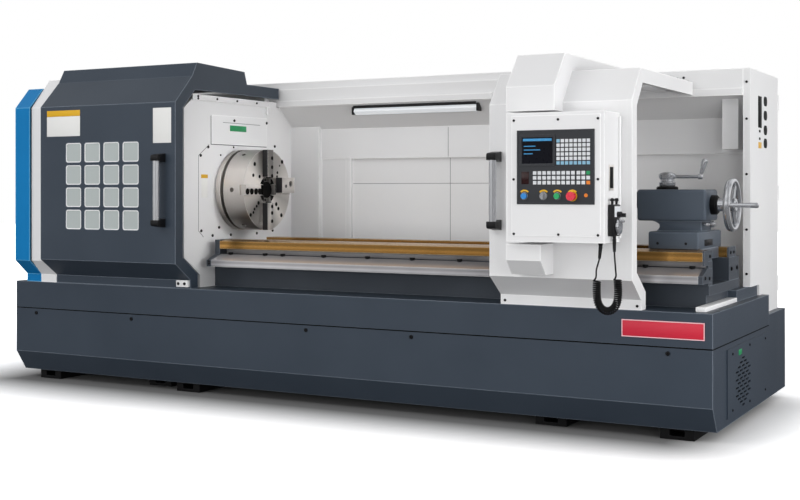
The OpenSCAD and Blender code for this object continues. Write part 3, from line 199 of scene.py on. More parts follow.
def finish_mat(name, colour, other, rough, metal=0.0, coarse=2.2, fine=240.0, stretch=(1, 1, 1),
               bump=0.05, wobble=0.06, edge_highlight=None, radius=0.003, coat=0.0, glow=0.0, rings=None,
               specular=0.5, reflection_paint=None):
    """Two close tones by a coarse noise, grain by a fine one, edges lightened as a painted highlight, and
    painted reflection bands when given.
    """
    m = bpy.data.materials.new(name)
    m.use_nodes = True
    nt = m.node_tree
    bsdf = nt.nodes["Principled BSDF"]
    coord = nt.nodes.new("ShaderNodeTexCoord").outputs["Object"]
    mapping = nt.nodes.new("ShaderNodeMapping")
    mapping.inputs["Scale"].default_value = stretch
    nt.links.new(coord, mapping.inputs["Vector"])
    big = node(nt, "ShaderNodeTexNoise", Scale=coarse, Detail=3.0, Roughness=0.55)
    small = node(nt, "ShaderNodeTexNoise", Scale=fine, Detail=2.0, Roughness=0.6)
    for t in (big, small):
        nt.links.new(mapping.outputs["Vector"], t.inputs["Vector"])
    tone = blend_colour(nt, spread(nt, big.outputs[0], 0.0, 1.0), colour, other)
    grain = small.outputs[0]
    if rings:
        grain = turning_marks(nt, coord, *rings)
        tone = blend_colour(nt, spread(nt, grain, 0.0, 0.5, 0.0, 1.0), tone, other)
    # Painted reflections: light and dark bands multiplied into the colour
    if reflection_paint:
        tone = multiply(nt, tone, painted_reflection_bands(nt, coord, *reflection_paint))
    lumps = node(nt, "ShaderNodeBump", Strength=bump, Distance=BUMP_DEPTH)
    nt.links.new(grain, lumps.inputs["Height"])
    # Painted highlight: edges lighter by how far a bevel bends the normal
    if edge_highlight:
        bevel = nt.nodes.new("ShaderNodeBevel")
        bevel.samples = 4
        bevel.inputs["Radius"].default_value = radius
        flat = nt.nodes.new("ShaderNodeNewGeometry").outputs["Normal"]
        same = vector_math(nt, "DOT_PRODUCT", bevel.outputs[0], flat)
        tone = blend_colour(nt, spread(nt, same, HIGHLIGHT_MOST, 0.0, *HIGHLIGHT_RANGE), tone, edge_highlight)
        if radius < SHADED_BEVEL:
            nt.links.new(bevel.outputs[0], lumps.inputs["Normal"])
    nt.links.new(lumps.outputs[0], bsdf.inputs["Normal"])
    nt.links.new(tone, bsdf.inputs["Base Color"])
    nt.links.new(spread(nt, small.outputs[0], max(0.02, rough - wobble), rough + wobble),
                 bsdf.inputs["Roughness"])
    bsdf.inputs["Metallic"].default_value = metal
    bsdf.inputs["Coat Weight"].default_value = coat
    bsdf.inputs["Specular IOR Level"].default_value = specular
    if glow:
        nt.links.new(tone, bsdf.inputs["Emission Color"])
        bsdf.inputs["Emission Strength"].default_value = glow
    return m


# Painted reflections: bands by height on the rails and the cover, fans round the chuck's axis
RAIL_REFLECTION_PAINT = ((0.0, 0.3), (0.28, 0.5), (0.5, 0.8), (0.62, 1.0), (0.76, 0.62), (0.9, 0.5), (1.0, 0.72))
COVER_REFLECTION_PAINT = ((0.0, 0.42), (0.15, 0.62), (0.3, 1.0), (0.46, 0.62), (0.62, 0.95), (1.0, 0.85))
CHUCK_REFLECTION_PAINT = ((0.0, 0.85), (0.05, 0.56), (0.12, 0.18), (0.18, 0.36), (0.23, 0.72), (0.27, 0.24),
               (0.36, 0.8), (0.45, 0.44), (0.56, 0.7), (0.64, 0.4), (0.7, 0.36), (0.74, 0.15),
               (0.8, 0.28), (0.86, 0.6), (0.92, 1.0), (0.97, 1.0), (1.0, 0.85))
SLATE = (lin(53, 62, 73), lin(58, 67, 78))
MATS = {
    "slate_paint": finish_mat("slate paint", *SLATE, 0.42, bump=0.05, edge_highlight=lin(128, 137, 148),
                              radius=0.007, specular=0.35),
    "white_paint": finish_mat("white paint", lin(230, 230, 230), lin(227, 227, 228), 0.45,
                              bump=0.04, edge_highlight=lin(255, 255, 255), radius=0.008, specular=0.3),
    "blue_paint": finish_mat("blue paint", lin(2, 112, 172), lin(6, 120, 182), 0.42, bump=0.05,
                             edge_highlight=lin(120, 195, 230), radius=0.008, specular=0.22),
    "black_steel": finish_mat("blackened steel", lin(10, 10, 11), lin(17, 17, 18), 0.5, metal=0.1,
                              bump=0.1, edge_highlight=lin(44, 44, 46), specular=0.25),
    "rail_bronze": finish_mat("rail bronze", lin(236, 182, 104), lin(196, 140, 66), 0.22, metal=0.85,
                              coarse=1.3, stretch=(1, 0.2, 0.2), fine=60.0, bump=0.0, wobble=0.01,
                              edge_highlight=lin(250, 226, 178), radius=0.004,
                              reflection_paint=("height", 0.842, 0.902, RAIL_REFLECTION_PAINT)),
    "polished_steel": finish_mat("polished cover steel", lin(244, 243, 245), lin(190, 189, 192),
                                 0.26, metal=0.6, coarse=1.5, stretch=(1, 0.2, 0.2), fine=60.0,
                                 bump=0.0, wobble=0.01, edge_highlight=lin(250, 250, 251), radius=0.004,
                                 reflection_paint=("height", 0.745, 0.83, COVER_REFLECTION_PAINT)),
    "ground_steel": finish_mat("turned steel", lin(255, 250, 245), lin(232, 226, 220), 0.3,
                               metal=0.6, rings=(AXIS, 60.0, "X"), bump=0.012, wobble=0.02,
                               edge_highlight=lin(232, 230, 227), radius=0.003,
                               reflection_paint=("turn", -math.pi, math.pi, CHUCK_REFLECTION_PAINT)),
    "cast": finish_mat("painted casting", lin(50, 56, 64), lin(60, 66, 74), 0.5, fine=120.0,
                       bump=0.16, edge_highlight=lin(112, 120, 130), radius=0.004),
    "chrome": finish_mat("chrome", lin(212, 214, 218), lin(192, 194, 198), 0.17, metal=0.84,
                         fine=90.0, bump=0.02, wobble=0.03, edge_highlight=lin(240, 240, 242), radius=0.002),
    "black_plastic": finish_mat("black plastic", lin(13, 13, 14), lin(19, 19, 21), 0.4, fine=420.0,
                                bump=0.08, edge_highlight=lin(64, 65, 68), radius=0.003, specular=0.4),
    "panel_plastic": finish_mat("panel sheet", lin(39, 41, 45), lin(44, 46, 50), 0.4, fine=500.0,
                                bump=0.06, edge_highlight=lin(96, 99, 104), radius=0.0015),
    "screen_glass": finish_mat("screen glass", lin(6, 7, 12), lin(12, 13, 22), 0.3, fine=30.0,
                               bump=0.01, specular=0.12),
    "window_sheet": finish_mat("window sheet", lin(177, 184, 183), lin(173, 181, 180), 0.3,
                               coarse=0.8, fine=8.0, bump=0.0, wobble=0.01, specular=0.4),
    "lamp_lens": finish_mat("lamp lens", lin(232, 235, 238), lin(222, 226, 230), 0.4, fine=90.0,
                            bump=0.02, glow=0.35),
    "rubber": finish_mat("cord rubber", lin(11, 11, 12), lin(18, 18, 19), 0.5, fine=300.0,
                         bump=0.12, specular=0.35),
    "blue_cap": finish_mat("blue cap", lin(26, 118, 190), lin(34, 130, 202), 0.25, fine=300.0,
                           bump=0.02, edge_highlight=lin(120, 160, 235), radius=0.001, coat=0.2),
    "green_cap": finish_mat("green cap", lin(20, 150, 84), lin(28, 164, 96), 0.25, fine=300.0,
                            bump=0.02, edge_highlight=lin(120, 215, 165), radius=0.001, coat=0.2),
    "red_cap": finish_mat("red cap", lin(206, 34, 58), lin(218, 42, 66), 0.28, fine=300.0,
                          bump=0.02, edge_highlight=lin(240, 120, 115), radius=0.001, coat=0.2),
}
RED = finish_mat("red plate", lin(204, 44, 66), lin(198, 40, 60), 0.36, fine=300.0, bump=0.03,
                 edge_highlight=lin(235, 150, 160), radius=0.002)
GREEN = finish_mat("green plate", lin(24, 138, 82), lin(30, 148, 90), 0.36, fine=300.0, bump=0.03)
YELLOW = finish_mat("yellow plate", lin(226, 176, 30), lin(216, 166, 24), 0.4, fine=300.0, bump=0.03)
ORANGE = finish_mat("orange key", lin(228, 130, 40), lin(218, 120, 34), 0.4, fine=300.0, bump=0.03)
KEY = finish_mat("white key", lin(224, 226, 229), lin(210, 213, 217), 0.45, fine=400.0, bump=0.03,
                 edge_highlight=lin(240, 240, 240), radius=0.0008)
KEY_BLUE = finish_mat("pale blue key", lin(140, 186, 210), lin(128, 174, 200), 0.45, fine=400.0,
                      bump=0.03)
BAR = finish_mat("screen bar", lin(40, 120, 170), lin(52, 134, 184), 0.25, fine=60.0, bump=0.01,
                 glow=0.25)
PORT = finish_mat("dark red display", lin(22, 10, 11), lin(50, 14, 14), 0.2, coarse=160.0, fine=60.0,
                  bump=0.01)
# Black: on holes, slots, the chuck's bore and groove and behind the vent it is painted shade; the seam and
# the cabinet's plates are black of their own
BLACK_AND_PAINTED_SHADE = finish_mat("dark recess", lin(3, 3, 3), lin(7, 7, 7), 0.6, fine=200.0, bump=0.05, specular=0.1)
# Grey lines: seams on the rear wall, and painted shadow lines along the plate edges on the headstock face
SEAM_AND_SHADOW_LINE = finish_mat("seam shadow", lin(120, 121, 124), lin(104, 105, 108), 0.7, fine=200.0, bump=0.05)
# A lighter copy of the slate paint for the tailstock: painted light where it stands in shade
LIT_TAILSTOCK_SLATE = finish_mat("tailstock paint", lin(71, 80, 91), lin(77, 86, 97), 0.42, bump=0.08,
                        edge_highlight=lin(140, 149, 160), radius=0.006, specular=0.35)
# Dark jaw walls: painted dark reflection on the walls, painted shade on the rear jaw's sheet, hole and bore
JAW_PAINTED_DARK = finish_mat("dark jaw wall", lin(40, 40, 42), lin(56, 56, 58), 0.4, metal=0.2, fine=200.0,
                  stretch=(1, 1, 0.1), bump=0.06)
PLATE = finish_mat("pale plate", lin(232, 232, 230), lin(226, 226, 223), 0.5, fine=300.0, bump=0.02)
PLATE_RIM = finish_mat("plate rim", lin(236, 196, 200), lin(228, 186, 192), 0.45, fine=300.0, bump=0.02)
KNOB = finish_mat("grey knob", lin(176, 178, 182), lin(160, 162, 166), 0.3, metal=0.6, fine=300.0,
                  bump=0.03, edge_highlight=lin(230, 230, 232), radius=0.001)
STRIP = finish_mat("recess steel", lin(168, 166, 167), lin(128, 126, 128), 0.4, metal=0.35, coarse=2.0,
                   stretch=(1, 0.2, 0.2), fine=90.0, bump=0.02)
TUBE = finish_mat("bright tube", lin(212, 213, 216), lin(196, 198, 201), 0.2, metal=0.7, fine=90.0,
                  bump=0.01, wobble=0.02)
VENT = finish_mat("vent panel paint", *SLATE, 0.42, bump=0.05, specular=0.35)
OWN_MATS = {"mode_selector": KNOB, "vent_panel": VENT}  # nodes that don't take their slot's material
slots = {p["node"]: p["material_slot"] for p in frame["record"]["subparts"]}
for n, o in frame["nodes"].items():
    o.data.materials.clear()
    o.data.materials.append(OWN_MATS.get(n) or MATS[slots[n]])


# Mesh builders, all in machine millimetres
def pour(b, t):
    """Adds one mesh to another."""
    me = bpy.data.meshes.new("part")
    t.to_mesh(me)
    t.free()
    b.from_mesh(me)
    bpy.data.meshes.remove(me)


def round_off(t, r, n=2):
    """Rounds all edges of a mesh."""
    if r > 0:
        bmesh.ops.bevel(t, geom=t.edges[:], offset=r / 1000.0, segments=n, profile=0.5,
                        affect="EDGES", clamp_overlap=True)


def box(b, x0, x1, y0, y1, z0, z1, r, n=2):
    """Block between two corners, with its edges rounded by r in n steps."""
    t = bmesh.new()
    lo, hi = at(min(x0, x1), min(y0, y1), min(z0, z1)), at(max(x0, x1), max(y0, y1), max(z0, z1))
    bmesh.ops.create_cube(t, size=1.0, matrix=Matrix.Translation((lo + hi) / 2)
                          @ Matrix.Diagonal((*(hi - lo), 1.0)))
    round_off(t, r, n)
    pour(b, t)


def prism(b, pts, axis, a0, a1, r=0.0):
    """Outline drawn out between two places along x or y."""
    t = bmesh.new()
    one, two = ([t.verts.new(at(a, *p) if axis == "x" else at(p[0], a, p[1])) for p in pts] for a in (a0, a1))
    t.faces.new(one)
    t.faces.new(two[::-1])
    for i in range(len(pts)):
        j = (i + 1) % len(pts)
        t.faces.new((one[j], one[i], two[i], two[j]))
    bmesh.ops.recalc_face_normals(t, faces=t.faces[:])
    round_off(t, r)
    pour(b, t)


def lathe(b, origin, direction, profile, n, loop=False):
    """Turns a profile of (along, radius) round a line in n steps; loop joins its ends into a ring."""
    t = bmesh.new()
    d = Vector(direction).normalized()
    u = d.orthogonal().normalized()
    v = d.cross(u)
    o = at(*origin)
    rows = []
    for a, r in profile:
        c = o + d * (a / 1000.0)
        if r <= 0:
            rows.append([t.verts.new(c)])
        else:
            rows.append([t.verts.new(c + (u * math.cos(2 * math.pi * k / n)
                                          + v * math.sin(2 * math.pi * k / n)) * (r / 1000.0))
                         for k in range(n)])
    pairs = list(zip(rows, rows[1:])) + ([(rows[-1], rows[0])] if loop else [])
    for p, q in pairs:
        for k in range(n):
            j = (k + 1) % n
            ring = [p[k % len(p)], p[j % len(p)], q[j % len(q)], q[k % len(q)]]
            face = list(dict.fromkeys(ring))
            if len(face) > 2:
                t.faces.new(face)
    bmesh.ops.recalc_face_normals(t, faces=t.faces[:])
    pour(b, t)


def rod(b, p, q, r0, r1=None):
    """Rod between two points, tapered if it has a second radius, with small chamfers."""
    r1 = r0 if r1 is None else r1
    d = Vector(q) - Vector(p)
    h, c = d.length, 1.0
    lathe(b, p, d, [(0, 0), (0, r0 - c), (c, r0), (h - c, r1), (h, r1 - c), (h, 0)], 32)


def screw(b, p, direction, r, h):
    """Socket screw head standing out of a face."""
    lathe(b, p, direction, [(0, r), (h * 0.7, r), (h, r * 0.82), (h, r * 0.45), (h * 0.35, r * 0.45),
                            (h * 0.35, 0)], 14)


def spot(b, x, y, z, r):
    """Thin disc that stands for a hole in a face that looks along X; its dark colour is painted shade inside
    the hole.
    """
    lathe(b, (x, y, z), RIGHT, [(-0.2, r), (0.7, r), (0.7, 0)], 20)


def round_points(centre, rows, turn=0):
    """Points round a centre, from rows of (radius, angles in degrees)."""
    return [(centre[0] + r * math.cos(math.radians(a + turn)),
             centre[1] + r * math.sin(math.radians(a + turn))) for r, angles in rows for a in angles]


def rounded(x, z, w, h, r):
    """Rectangle with round corners, as an outline."""
    pts, n = [], 6
    for k, (cx, cz) in enumerate(((x + w - r, z + h - r), (x + r, z + h - r), (x + r, z + r),
                                  (x + w - r, z + r))):
        for i in range(n + 1):
            a = math.radians(90 * k + 90 * i / n)
            pts.append((cx + r * math.cos(a), cz + r * math.sin(a)))
    return pts


def frame_ring(b, outer, inner, y0, y1):
    """Flat ring between two outlines of equal count, in X and Z, between two depths."""
    t = bmesh.new()
    rows = [[t.verts.new(at(p[0], y, p[1])) for p in pts] for pts, y in
            ((outer, y0), (outer, y1), (inner, y1), (inner, y0))]
    for p, q in zip(rows, rows[1:] + rows[:1]):
        for k in range(len(p)):
            j = (k + 1) % len(p)
            t.faces.new((p[k], p[j], q[j], q[k]))
    bmesh.ops.recalc_face_normals(t, faces=t.faces[:])
    pour(b, t)


SHARP = math.radians(32)  # edges that bend more aren't shaded smooth


def piece(name, b, mat, body, nodes=()):
    """One visible piece that rides on a body, and the nodes of the solids that it replaces."""
    me = bpy.data.meshes.new(name)
    b.to_mesh(me)
    b.free()
    for p in me.polygons:
        p.use_smooth = True
    me.set_sharp_from_angle(angle=SHARP)
    o = bpy.data.objects.new(name, me)
    scene.collection.objects.link(o)
    me.materials.append(MATS[mat] if isinstance(mat, str) else mat)
    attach(o, body)
    if nodes:
        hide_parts(*nodes)


# Pendant cord: straight lead, curly stretch, straight tail, as one open line
def smooth_line(pts, step):
    """Smooth curve through points, about one step between its own points."""
    pts = [Vector(p) for p in pts]
    out = []
    for i in range(len(pts) - 1):
        p0, p1, p2, p3 = pts[max(i - 1, 0)], pts[i], pts[i + 1], pts[min(i + 2, len(pts) - 1)]
        n = max(2, round((p2 - p1).length / step))
        for k in range(n):
            t = k / n
            out.append(0.5 * ((2 * p1) + (p2 - p0) * t + (2 * p0 - 5 * p1 + 4 * p2 - p3) * t * t
                              + (3 * p1 - p0 - 3 * p2 + p3) * t ** 3))
    return out + [pts[-1]]


COIL = [(1779, -280, 816), (1776, -280, 757), (1778, -280, 705), (1788, -280, 673),
        (1806, -279, 654), (1830, -279, 648), (1853, -278, 657), (1870, -278, 679),
        (1878, -277, 710), (1879, -277, 760), (1873, -276, 826)]
CORD_R, LOOP_R, LOOP_PITCH, LOOP_POINTS = 4.0, 16.0, 9.8, 18  # millimetres, and points on a loop
BEND_IN = 48.0  # length of cord in which the straight lead turns into the first loop
BEND_PARTS, PARTS = 400, 20  # parts in which that bend, and one step of the helix, are added up
LEAD_RUN, TAIL_RUN = 26, 34  # how far the lead and the tail run straight on at the coil's ends
CORD_STEP = 8.0  # between points of the lead and the tail


def curl(spine):
    """Helix on the spine at a constant radius; its slope eases in from the lead and out to the tail."""
    line = smooth_line(spine, 1.0)
    gone, sides, side = [0.0], [], Vector(FRONT)
    for i, p in enumerate(line):
        if i:
            gone.append(gone[-1] + (p - line[i - 1]).length)
        along = (line[min(i + 1, len(line) - 1)] - line[max(i - 1, 0)]).normalized()
        side = (side - along * side.dot(along)).normalized()
        sides.append((side.copy(), along.cross(side), along))
    steep = math.atan(2 * math.pi * LOOP_R / LOOP_PITCH)

    def ease(u):
        u = min(1.0, max(0.0, u))
        return u * u * (3 - 2 * u)

    bend = (sum(math.cos(steep * ease((k + 0.5) / BEND_PARTS)) for k in range(BEND_PARTS))
            * BEND_IN / BEND_PARTS)
    whole = 2 * BEND_IN + (gone[-1] - 2 * bend) / math.cos(steep)
    count = round(whole / (2 * math.pi * LOOP_R / LOOP_POINTS))
    step = whole / count / PARTS
    way, turn, marks = 0.0, 0.0, [(0.0, 0.0)]
    for k in range(count * PARTS):
        run = (k + 0.5) * step
        slope = steep * ease(min(run, whole - run) / BEND_IN)
        way += math.cos(slope) * step
        turn += math.sin(slope) / LOOP_R * step
        if k % PARTS == PARTS - 1:
            marks.append((way, turn))
    out, i = [], 0
    whole_turns = 2 * math.pi * round(turn / (2 * math.pi))
    for w, t in marks:
        w *= gone[-1] / way
        t *= whole_turns / turn
        while i < len(line) - 2 and gone[i + 1] < w:
            i += 1
        f = (w - gone[i]) / (gone[i + 1] - gone[i])
        a, c, _ = sides[i]
        out.append(line[i].lerp(line[i + 1], f) + (a * math.cos(t) + c * math.sin(t)) * LOOP_R)
    return out, sides[0][2], sides[-1][2]


loops, down, up = curl(COIL)
first, last = loops[0], loops[-1]
LEAD = [(1795, -280, 943), (1791, -285, 893), first - down * LEAD_RUN, first, first + down * LEAD_RUN]
TAIL = [last - up * TAIL_RUN, last, last + up * TAIL_RUN, (1858, -267, 918), (1854.8, -259, 974)]
lead = smooth_line(LEAD, CORD_STEP)
tail = smooth_line(TAIL, CORD_STEP)
route = lead[:lead.index(first)] + loops + tail[tail.index(last) + 1:]
cord_points = [at(*p) for p in route]
curve = bpy.data.curves.new("pendant_cord", "CURVE")
curve.dimensions = "3D"
curve.bevel_depth = CORD_R / 1000.0
curve.bevel_resolution = 2
curve.use_fill_caps = True
spline = curve.splines.new("POLY")
spline.points.add(len(cord_points) - 1)
for sp, p in zip(spline.points, cord_points):
    sp.co = (*p, 1.0)
cord = bpy.data.objects.new("pendant_cord", curve)
scene.collection.objects.link(cord)
curve.materials.append(MATS["rubber"])
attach(cord, "right_door")
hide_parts("cord_lead", "cord_coil", "cord_tail")

# Tapered sleeves where the cord enters the box and the pendant
b = bmesh.new()
rod(b, (1795, -280, 950), (1791, -285, 892), 9.5, 7)
rod(b, (1854.8, -259, 985), (1857.7, -266.3, 925), 9.5, 7)
piece("cord_sleeves", b, "black_plastic", "right_door")

# Grips: polished tube between black brackets
for side, x, z0, z1, body in (("left", -940, 995, 1428, "left_door"),
                              ("right", 1200, 1013, 1407, "right_door")):
    b = bmesh.new()
    rod(b, (x + 2, -194, z0 + 26), (x + 2, -194, z1 - 26), 19)
    piece(side + "_grip_tube", b, TUBE, body, (side + "_handle",))
    b = bmesh.new()
    for z, s in ((z0, 1), (z1, -1)):
        prism(b, [(-138, z), (-138, z + 52 * s), (-184, z + 44 * s), (-214, z + 44 * s),
                  (-214, z + 18 * s), (-206, z + 9 * s)], "x", x - 25, x + 27, 2)
    piece(side + "_grip_brackets", b, "black_plastic", body)

# Window rims in the left door
WINDOW_X, WINDOW_Z, WINDOW_DX, WINDOW_DZ = -1691, 975, 150.7, 136
b = bmesh.new()
for i in range(4):
    for j in range(4):
        x, z = WINDOW_X + i * WINDOW_DX, WINDOW_Z + j * WINDOW_DZ
        frame_ring(b, rounded(x + 0.3, z + 0.3, 121.4, 117.4, 14), rounded(x + 5, z + 5, 112, 108, 10),
                   -137.4, -134.1)
piece("window_rims", b, "white_paint", "left_door")

# Base: plain red plate, screws, rail bolts, seam, vent panel with a black sheet behind its slots as painted
# shade, screws and bare tag
BOLT = [(0, 0), (0, 7), (9, 7), (9, 13), (12, 15), (22.8, 15), (22.8, 0)]
SEAM_LOW, SEAM_HIGH = 456.5, 463
VENT_SCREWS = ((360, 400), (360, 120), (1100, 400), (1100, 120), (730, 406), (730, 112))
VENT_TAG = (520, 392)
b = bmesh.new()
box(b, 1804, 2212, -3, 0.2, 500, 585, 1.2)
piece("red_plate", b, RED, "machine")
b = bmesh.new()
frame_ring(b, rounded(1804.5, 500.5, 407, 84, 2), rounded(1809, 505, 398, 75, 2), -3.6, -2.8)
piece("red_plate_rim", b, PLATE_RIM, "machine")
b = bmesh.new()
for x in (-2075, -1291, -28, 640, 2034):
    screw(b, (x, 0, 430), FRONT, 11, 7)
for x in (-692, -443, -318, -36, 255, 540, 830, 1120, 1862, 2098):
    lathe(b, (x, 198, 818), UP, BOLT, 20)
for y in (300, 730, 850):
    screw(b, (2160, y, 800), RIGHT, 11, 7)
for x, y, z in ((2174, 150, 785), (2174, 228, 780), (2158, 300, 885), (2158, 722, 885), (2158, 790, 885)):
    screw(b, (x, y, z), RIGHT, 9, 5)
for z in (775, 790):
    screw(b, (-787, 109, z), FRONT, 6, 4)
piece("base_screws", b, "black_steel", "machine")
b = bmesh.new()
box(b, -769, 2148, 263, 265.2, 830, 860.6, 0.3)
piece("recess_strip", b, STRIP, "machine")
b = bmesh.new()
box(b, -2250, 2250, -0.5, 0.2, SEAM_LOW, SEAM_HIGH, 0.0)
box(b, 2249.8, 2250.5, 0, 1222, SEAM_LOW, SEAM_HIGH, 0.0)
piece("base_seam", b, BLACK_AND_PAINTED_SHADE, "machine")
# Black sheet behind the vent panel's slots: painted shade inside them
b = bmesh.new()
box(b, 2248.6, 2250.1, 400, 780, 105, 372, 0.3)
piece("vent_slot_shade", b, BLACK_AND_PAINTED_SHADE, "machine")
b = bmesh.new()
for y, z in VENT_SCREWS:
    screw(b, (2256, y, z), RIGHT, 7, 4)
piece("vent_screws", b, "black_steel", "machine")
b = bmesh.new()
box(b, 2255.8, 2257, VENT_TAG[0] - 34, VENT_TAG[0] + 34, VENT_TAG[1] - 14, VENT_TAG[1] + 14, 0.4)
piece("vent_tag", b, GREEN, "machine")
b = bmesh.new()
box(b, 2150.2, 2200, 66, 688, 630.2, 652, 1.5)
piece("bed_end_strip", b, "white_paint", "machine")

# Headstock face: plates, painted shadow lines along their edges, bare green plate, screws
HEAD_X = -860.2  # 0.2 mm inside the face
b = bmesh.new()
prism(b, [(227, 1496), (227, 1672), (813, 1680), (813, 1496)], "x", HEAD_X, -856.5, 1.0)
box(b, HEAD_X, -852, 40, 836, 1752, 1786, 1.5)
box(b, HEAD_X, -846, 800, 836, 1700, 1752, 1.5)
piece("head_plates", b, "white_paint", "machine")
# Thin grey lines along the plate edges and the octagon's outline: painted shadow lines
b = bmesh.new()
box(b, HEAD_X, -859.2, 222, 226.5, 1490, 1666, 0.0)
box(b, HEAD_X, -859.2, 222, 812, 1490, 1495, 0.0)
box(b, -856.7, -856.0, 341, 735, 1629, 1632, 0.0)
box(b, HEAD_X, -859.4, 101, 104.5, 969, 1422, 0.0)
prism(b, [(101, 1422), (104.5, 1420.5), (207, 1487.5), (205, 1491)], "x", HEAD_X, -859.4)
prism(b, [(101, 969), (104.5, 970.5), (152, 932), (150, 929)], "x", HEAD_X, -859.4)
piece("head_lines", b, SEAM_AND_SHADOW_LINE, "machine")
b = bmesh.new()
box(b, -857, -854.5, 412, 583, 1580, 1616, 0.8)
piece("head_tag", b, GREEN, "machine")
b = bmesh.new()
for y, z in ((122, 1422), (196, 1475), (457, 1647), (808, 1648), (905, 1500), (128, 969), (239, 937),
             (304, 985), (424, 936), (702, 937), (880, 950)):
    screw(b, (-857 if z > 1600 else -860, y, z), RIGHT, 9, 5)
for y, z in ((320, 1429), (454, 1481)):
    screw(b, (-860, y, z), RIGHT, 6, 4)
for y, z in ((88, 1776), (88, 1762), (275, 1770), (480, 1770), (691, 1770), (818, 1726)):
    screw(b, (-851, y, z), RIGHT, 7, 4)
piece("head_screws", b, "black_steel", "machine")

# Chuck: holes, centre bore and groove drawn black as painted shade, edge rings, top jaws with side walls
# darkened as painted reflection
CHUCK_X = -647  # the front face
JAW_INNER, JAW_OUTER = 80, 248  # the top jaws' ends, from the axis
b = bmesh.new()
for y, z, r in ((381, 1373, 13), (366, 1304, 11), (432, 1297, 11), (677, 1392, 13), (650, 1367, 6),
                (625, 1323, 9), (621, 1298, 9), (420, 1135, 12), (401, 1115, 9), (378, 1098, 9),
                (367, 1077, 9), (338, 1062, 12), (612, 1125, 13), (636, 1097, 12), (669, 1055, 13)):
    spot(b, CHUCK_X, y, z, r)
# Black sectors between the jaws: painted shade
for turn in range(0, 360, 90):
    sector = round_points((SPIN_Y, SPIN_Z), ((50.5, range(39, 52, 2)), (82, range(63, 26, -2))), turn)
    prism(b, sector, "x", CHUCK_X - 0.2, CHUCK_X + 0.7)
# Black bore at the centre and a black sleeve in the rim's groove: painted shade
lathe(b, (-640, SPIN_Y, SPIN_Z), RIGHT, [(-60, 50), (-8, 50), (-8, 0)], 32)
lathe(b, (-820.6, SPIN_Y, SPIN_Z), RIGHT, [(0, 225.8), (0, 226.6), (23.2, 226.6), (23.2, 225.8)], 96, True)
# Black patches deep in the jaw slots: painted shade
for dy, dz in ((0, 1), (-1, 0), (0, -1), (1, 0)):
    y, z = SPIN_Y + dy * 62, SPIN_Z + dz * 62
    wide, high = (9, 30) if dy else (30, 9)
    box(b, -676.9, -676.72, y - wide, y + wide, z - high, z + high, 0.0)
piece("chuck_holes", b, BLACK_AND_PAINTED_SHADE, "spindle")
b = bmesh.new()
for turn in range(0, 360, 90):
    arc = round_points((SPIN_Y, SPIN_Z), ((249.4, range(13, 78, 2)), (244, range(77, 12, -2))), turn)
    prism(b, arc, "x", CHUCK_X - 0.2, CHUCK_X + 0.6)
piece("chuck_rings", b, "ground_steel", "spindle")
for name, s, rises in (("jaw_top", 1, (86, 140, 196)), ("jaw_bottom", -1, (103, 143, 194))):
    lo, hi = sorted((SPIN_Z + s * JAW_INNER, SPIN_Z + s * JAW_OUTER))
    b = bmesh.new()
    box(b, -646.2, -609, 466, 527, lo, hi, 2)
    piece(name + "_block", b, "ground_steel", name)
    # Dark side wall on the front of each jaw: painted dark reflection
    b = bmesh.new()
    box(b, -646.0, -610, 464.5, 466.2, lo + 1, hi - 1, 0.6)
    piece(name + "_wall", b, JAW_PAINTED_DARK, name)
    b = bmesh.new()
    for rise in rises:
        spot(b, -609, 512, SPIN_Z + s * rise, 12)
    piece(name + "_holes", b, BLACK_AND_PAINTED_SHADE, name)
b = bmesh.new()
for y in (292, 336, 380, 420):
    spot(b, -637, y, 1205, 19.5)
piece("jaw_front_holes", b, BLACK_AND_PAINTED_SHADE, "jaw_front")
for name, y0, y1, z0, z1 in (("jaw_top", 482.5, 543.5, 1287.3, 1296),
                             ("jaw_bottom", 482.5, 543.5, 1134, 1142.7),
                             ("jaw_front", 432, 440.7, 1184.5, 1245.5),
                             ("jaw_rear", 585.3, 593, 1184.5, 1245.5)):
    b = bmesh.new()
    box(b, -676, -636.6, y0, y1, z0, z1, 0.4)
    piece(name + "_tip", b, BLACK_AND_PAINTED_SHADE, name)
# Dark sheet, hole and bore on the rear jaw: painted shade
b = bmesh.new()
box(b, -636, -590, 593.6, 595.2, 1197, 1291, 0.6)
spot(b, -589, 636, 1238, 11)
lathe(b, (-589, 689, 1253.5), RIGHT, [(-28, 17.6), (-12, 17.6), (-12, 0)], 24)
piece("jaw_rear_dark", b, JAW_PAINTED_DARK, "jaw_rear")

# Bare plates where the machine carries labels
DOOR_PLATE = (-138.9, -137.8)  # depths on the dark door
CABINET_PLATE = (2210.8, 2211.8)  # places on the cabinet's side
b = bmesh.new()
box(b, -1848, -1577, *DOOR_PLATE, 1544, 1666, 0.3)
box(b, -1007, -872, *DOOR_PLATE, 1490, 1696, 0.3)
piece("door_plates", b, PLATE, "left_door")
b = bmesh.new()
box(b, -1848, -1577, *DOOR_PLATE, 1667, 1703, 0.3)
piece("door_plate_band", b, YELLOW, "left_door")
b = bmesh.new()
box(b, HEAD_X, -859, 132, 190, 1168, 1282, 0.3)
piece("head_plate_low", b, PLATE, "machine")
b = bmesh.new()
box(b, HEAD_X, -859, 128, 193, 1286, 1308, 0.3)
box(b, *CABINET_PLATE, 1138, 1216, 1446, 1480, 0.3)
piece("plate_bands", b, YELLOW, "machine")
b = bmesh.new()
box(b, *CABINET_PLATE, 1130, 1220, 1560, 1736, 0.3)
for z in (1715, 1635, 1552, 1478):
    prism(b, [(1315 + dy, z + dz) for dy, dz in rounded(-44, -27, 88, 54, 26)], "x", *CABINET_PLATE)
for z in (1541, 1499):
    box(b, *CABINET_PLATE, 1152, 1190, z - 7, z + 7, 0.3)
piece("cabinet_plates", b, BLACK_AND_PAINTED_SHADE, "machine")

